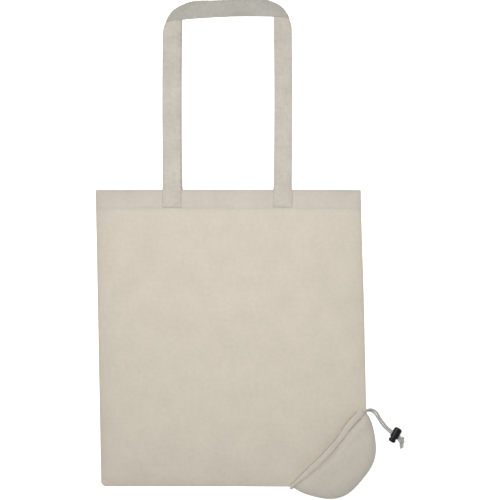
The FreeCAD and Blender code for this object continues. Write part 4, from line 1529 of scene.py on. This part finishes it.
@dataclass
class Drawcord:
    """The braided cord: its two free strands, the knot that joins them and the knot's two tails.

    Attributes:
        wardrobe: Makes the pieces.
        diameter: The cord's diameter.
        knot_at: The knot's middle.
    """

    wardrobe: Wardrobe
    diameter: float = 2.8 * MM
    knot_at: tuple[float, float, float] = (0.2246, -0.2581, 0.0043)

    def routes(self) -> dict[str, list[tuple[float, float, float]]]:
        """The route of each strand, from the casing's end to the knot.

        Returns:
            The points that control each strand's line, in metres, by the strand's name.
        """
        return {
            "front": [
                (0.1689, -0.2279, 0.0090),
                (0.1730, -0.2191, 0.0089),
                (0.1818, -0.2147, 0.0080),
                (0.1907, -0.2189, 0.0063),
                (0.1950, -0.2271, 0.0048),
                (0.1988, -0.2326, 0.0045),
                (0.2049, -0.2402, 0.0045),
                (0.2121, -0.2463, 0.0045),
                (0.2194, -0.2508, 0.0045),
                (0.2233, -0.2540, 0.0045),
            ],
            "back": [
                (0.1689, -0.2279, 0.0019),
                (0.1721, -0.2215, 0.0018),
                (0.1786, -0.2179, 0.0019),
                (0.1858, -0.2193, 0.0028),
                (0.1916, -0.2265, 0.0042),
                (0.1965, -0.2352, 0.0045),
                (0.2028, -0.2423, 0.0045),
                (0.2103, -0.2487, 0.0045),
                (0.2173, -0.2530, 0.0045),
                (0.2210, -0.2558, 0.0045),
            ],
        }

    def line(self, name: str, route: Sequence[tuple[float, float, float]]) -> Array:
        """Close points along the smooth line that a route's points control.

        Args:
            name: A name for the curve.
            route: The route's points.

        Returns:
            The close points.
        """
        curve = bpy.data.curves.new(name, "CURVE")
        curve.dimensions = "3D"
        curve.resolution_u = 32
        spline = curve.splines.new("NURBS")
        spline.points.add(len(route) - 1)
        for point, at in zip(spline.points, route):
            point.co = (*at, 1.0)
        spline.order_u = 3
        spline.use_endpoint_u = True
        holder = bpy.data.objects.new(name, curve)
        mesh = bpy.data.meshes.new_from_object(holder)
        points = np.zeros(len(mesh.vertices) * 3)
        mesh.vertices.foreach_get("co", points)
        bpy.data.objects.remove(holder)
        bpy.data.meshes.remove(mesh)
        bpy.data.curves.remove(curve)
        return points.reshape(-1, 3)

    def braid(self, path: Array, radius: float, towards: Any = (0.0, 0.0, 1.0)) -> Shell:
        """A round cord whose plaits stand out where two windings meet.

        The radius swells by a share of the product of two sines that wind opposite ways.

        Args:
            path: The cord's middle line.
            radius: Its mean radius.
            towards: The direction that the rings are numbered from.

        Returns:
            The faces, the points and their places round and along the cord.
        """
        total = lengths(path)[-1]
        far = np.linspace(0.0, total, max(8, int(total / (0.33 * MM))))
        line = along(path, far)
        sides = 24
        angle = np.linspace(0.0, math.tau, sides, endpoint=False)[None, :]
        wind = math.tau * far[:, None] / (5.0 * MM)
        relief = np.sin(4 * (angle + wind)) * np.sin(4 * (angle - wind))
        if np.ndim(towards) > 1:
            towards = along(towards, far / total * lengths(towards)[-1])
        return tube(line, radius * (1.03 + 0.03 * relief), towards, sides)

    def knot(self) -> Shell:
        """An overhand knot: the trefoil sin t + 2 sin 2t, cos t - 2 cos 2t, -sin 3t, pulled tight.

        Returns:
            The knot's shell.
        """
        t = np.linspace(0.0, math.tau, 181)
        size = 1.22 * MM
        x = np.sin(t) + 2 * np.sin(2 * t)
        y = np.cos(t) - 2 * np.cos(2 * t)
        lean = math.radians(28)
        turned_x = x * math.cos(lean) - y * math.sin(lean)
        turned_y = x * math.sin(lean) + y * math.cos(lean)
        loops = size * stack(turned_x, turned_y, -1.35 * np.sin(3 * t))
        return self.braid(np.array(self.knot_at) + loops, 1.55 * MM, loops)

    def tails(self) -> list[Shell]:
        """Two short tails out of the knot, each ending in a tuft of loose fibres.

        A fibre bends away from the tail's line by the square of the distance along it.

        Returns:
            A shell for each tail and each fibre.
        """
        draw = np.random.default_rng(41)
        made = []
        for aside, swing, long in ((-1.5, 0.10, 9.6), (1.5, 0.02, 8.2)):
            t = np.linspace(0.0, 1.0, 20)
            x = aside * MM + swing * 10 * MM * t**1.4
            y = -1.5 * MM - long * MM * t
            z = -0.6 * MM - 2.0 * MM * ease(t, 0.0, 0.6)
            path = np.array(self.knot_at) + stack(x, y, z)
            made.append(self.braid(path, self.diameter / 2 + 0.1 * MM))
            for _ in range(26):
                spread = draw.uniform(-1.0, 1.0, 2) * 1.25 * MM
                reach = draw.uniform(0.8, 2.2) * MM
                s = np.linspace(0.0, 1.0, 6)
                bend = draw.uniform(-0.6, 0.6) * MM
                root = path[-1] + np.array([spread[0], 0.4 * MM, spread[1] * 0.75])
                x, y = spread[0] * 0.5 * s + bend * s**2, -reach * s - 0.4 * MM * s
                fibre = root + stack(x, y, -0.2 * MM * s)
                made.append(tube(fibre, 0.11 * MM * (1.0 - 0.7 * s), (0.0, 0.0, 1.0), 5))
        return made

    def build(self) -> None:
        """Makes the strands and the knot, and dresses the length that the casings hold."""
        self.wardrobe.dress_node("drawcord_held_loop", Finish.CORD)
        shells = [self.knot(), *self.tails()]
        knot = self.wardrobe.make("cord_knot", shells, Finish.CORD, ["drawcord_knot"], "lower")
        for name, route in self.routes().items():
            path = self.line(f"{name}_route", route)
            shells = [self.braid(path, self.diameter / 2)]
            nodes = [f"drawcord_strand_{name}"]
            strand = self.wardrobe.make(f"{name}_cord_strand", shells, Finish.CORD, nodes, "lower")
            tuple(route[0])
            float(lengths(path)[-1])


@dataclass
class CordLock:
    """The lock's barrel, its button and the spring between them, all of them the frame's own nodes."""

    wardrobe: Wardrobe

    def build(self) -> None:
        """Dresses the lock."""
        for name in ("lock_barrel", "lock_plunger"):
            self.wardrobe.dress_node(name, Finish.BLACK)
        spring = self.wardrobe.dress_node("lock_spring", Finish.SPRING)
        press = next(joint for joint in frame["joints"] if joint["name"] == "button_press")
        axis = unit(np.array(press["axis"], float))
        points = np.array([corner.co for corner in spring.data.vertices])
        run = points @ axis
        keep = 1.0 - max(press["range_m"]) / np.ptp(run)
        tuple(points[run.argmax()])
        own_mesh(spring)


# --- stage -----------------------------------------------------------------------------------


@dataclass
class Studio:
    """The camera straight above, a white table and soft light from the handles' side.

    Attributes:
        target: The x and y that the camera is above.
        span: The width that it sees at the table's height.
        lens_mm: Its focal length.
    """

    target: tuple[float, float] = (19.1 * MM, -0.3 * MM)
    span: float = 0.680
    lens_mm: float = 100.0

    def camera(self) -> None:
        """Puts the camera as high as its lens needs to see the span."""
        data = bpy.data.cameras.new("camera")
        data.lens = self.lens_mm
        height = self.span * self.lens_mm / data.sensor_width
        made = bpy.data.objects.new("camera", data)
        made.location = (*self.target, height)
        bpy.context.scene.collection.objects.link(made)
        bpy.context.scene.camera = made

    def table(self) -> None:
        """A wide white table top that glows a little, so that it stays white under the bag's soft shade."""
        shader = Shader("table_top")
        grain = shader.noise(shader.object_mm(), (0.01, 0.01, 0.01), 2.0)
        white = shader.finished(
            {
                "Base Color": shader.blend(grain, (0.88, 0.88, 0.88), (0.92, 0.92, 0.92)),
                "Roughness": 0.9,
                "Emission Color": (1.0, 1.0, 1.0, 1.0),
                "Emission Strength": 0.62,
            }
        )
        reach, drop = 4.0, -0.3 * MM
        corners = [(x * reach, y * reach, drop) for x, y in ((-1, -1), (1, -1), (1, 1), (-1, 1))]
        mesh = bpy.data.meshes.new("table_top")
        mesh.from_pydata(corners, [], [(0, 1, 2, 3)])
        mesh.materials.append(white)
        made = bpy.data.objects.new("table_top", mesh)
        bpy.context.scene.collection.objects.link(made)

    def light(
        self, name: str, at: Sequence[float], towards: Sequence[float], size: float, power: float
    ) -> None:
        """A square soft light that faces a point of the table.

        Args:
            name: The light's name.
            at: Where it is.
            towards: The point's x and y.
            size: The length of its side.
            power: Its power, in watts.
        """
        data = bpy.data.lights.new(name, "AREA")
        data.size, data.energy = size, power
        made = bpy.data.objects.new(name, data)
        made.location = at
        away = np.array([*towards, 0.0]) - np.array(at)
        made.rotation_euler = (
            math.atan2(math.hypot(away[0], away[1]), -away[2]),
            0.0,
            math.atan2(away[1], away[0]) - math.pi / 2,
        )
        bpy.context.scene.collection.objects.link(made)

    def build(self) -> None:
        """Sets up the camera, the lights, the surroundings and the table."""
        self.camera()
        self.light("lamp", (-0.02, 0.12, 1.00), (0.02, 0.03), 0.40, 7.1)
        self.light("window", (-0.9, 1.0, 1.7), (0.0, 0.0), 1.2, 2.9)
        world = bpy.data.worlds.new("room")
        world.use_nodes = True
        background = next(node for node in world.node_tree.nodes if node.type == "BACKGROUND")
        background.inputs["Color"].default_value = (1.0, 1.0, 1.0, 1.0)
        background.inputs["Strength"].default_value = 0.345
        bpy.context.scene.world = world
        bpy.context.scene.view_settings.view_transform = "Standard"
        self.table()


def main() -> None:
    """Builds the bag from the camera and the cords to the cloth, and dresses what the frame keeps."""
    logging.basicConfig(level=logging.INFO, format="%(name)s: %(message)s")
    Studio().build()
    wardrobe = Wardrobe()
    Drawcord(wardrobe).build()
    shape = BagShape()
    Body(shape, wardrobe).build()
    Strap("front", shape, wardrobe).build()
    Strap(
        "back",
        shape,
        wardrobe,
        lying=0.85 * MM,
        sewn=0.95 * MM,
        corner_lift=0.0,
        roll=math.radians(32),
        shift=0.7 * MM,
        left_x=-84.4 * MM,
    ).build()
    Pouch(shape.pouch, wardrobe).build()
    CordLock(wardrobe).build()


if __name__ == "__main__":
    main()
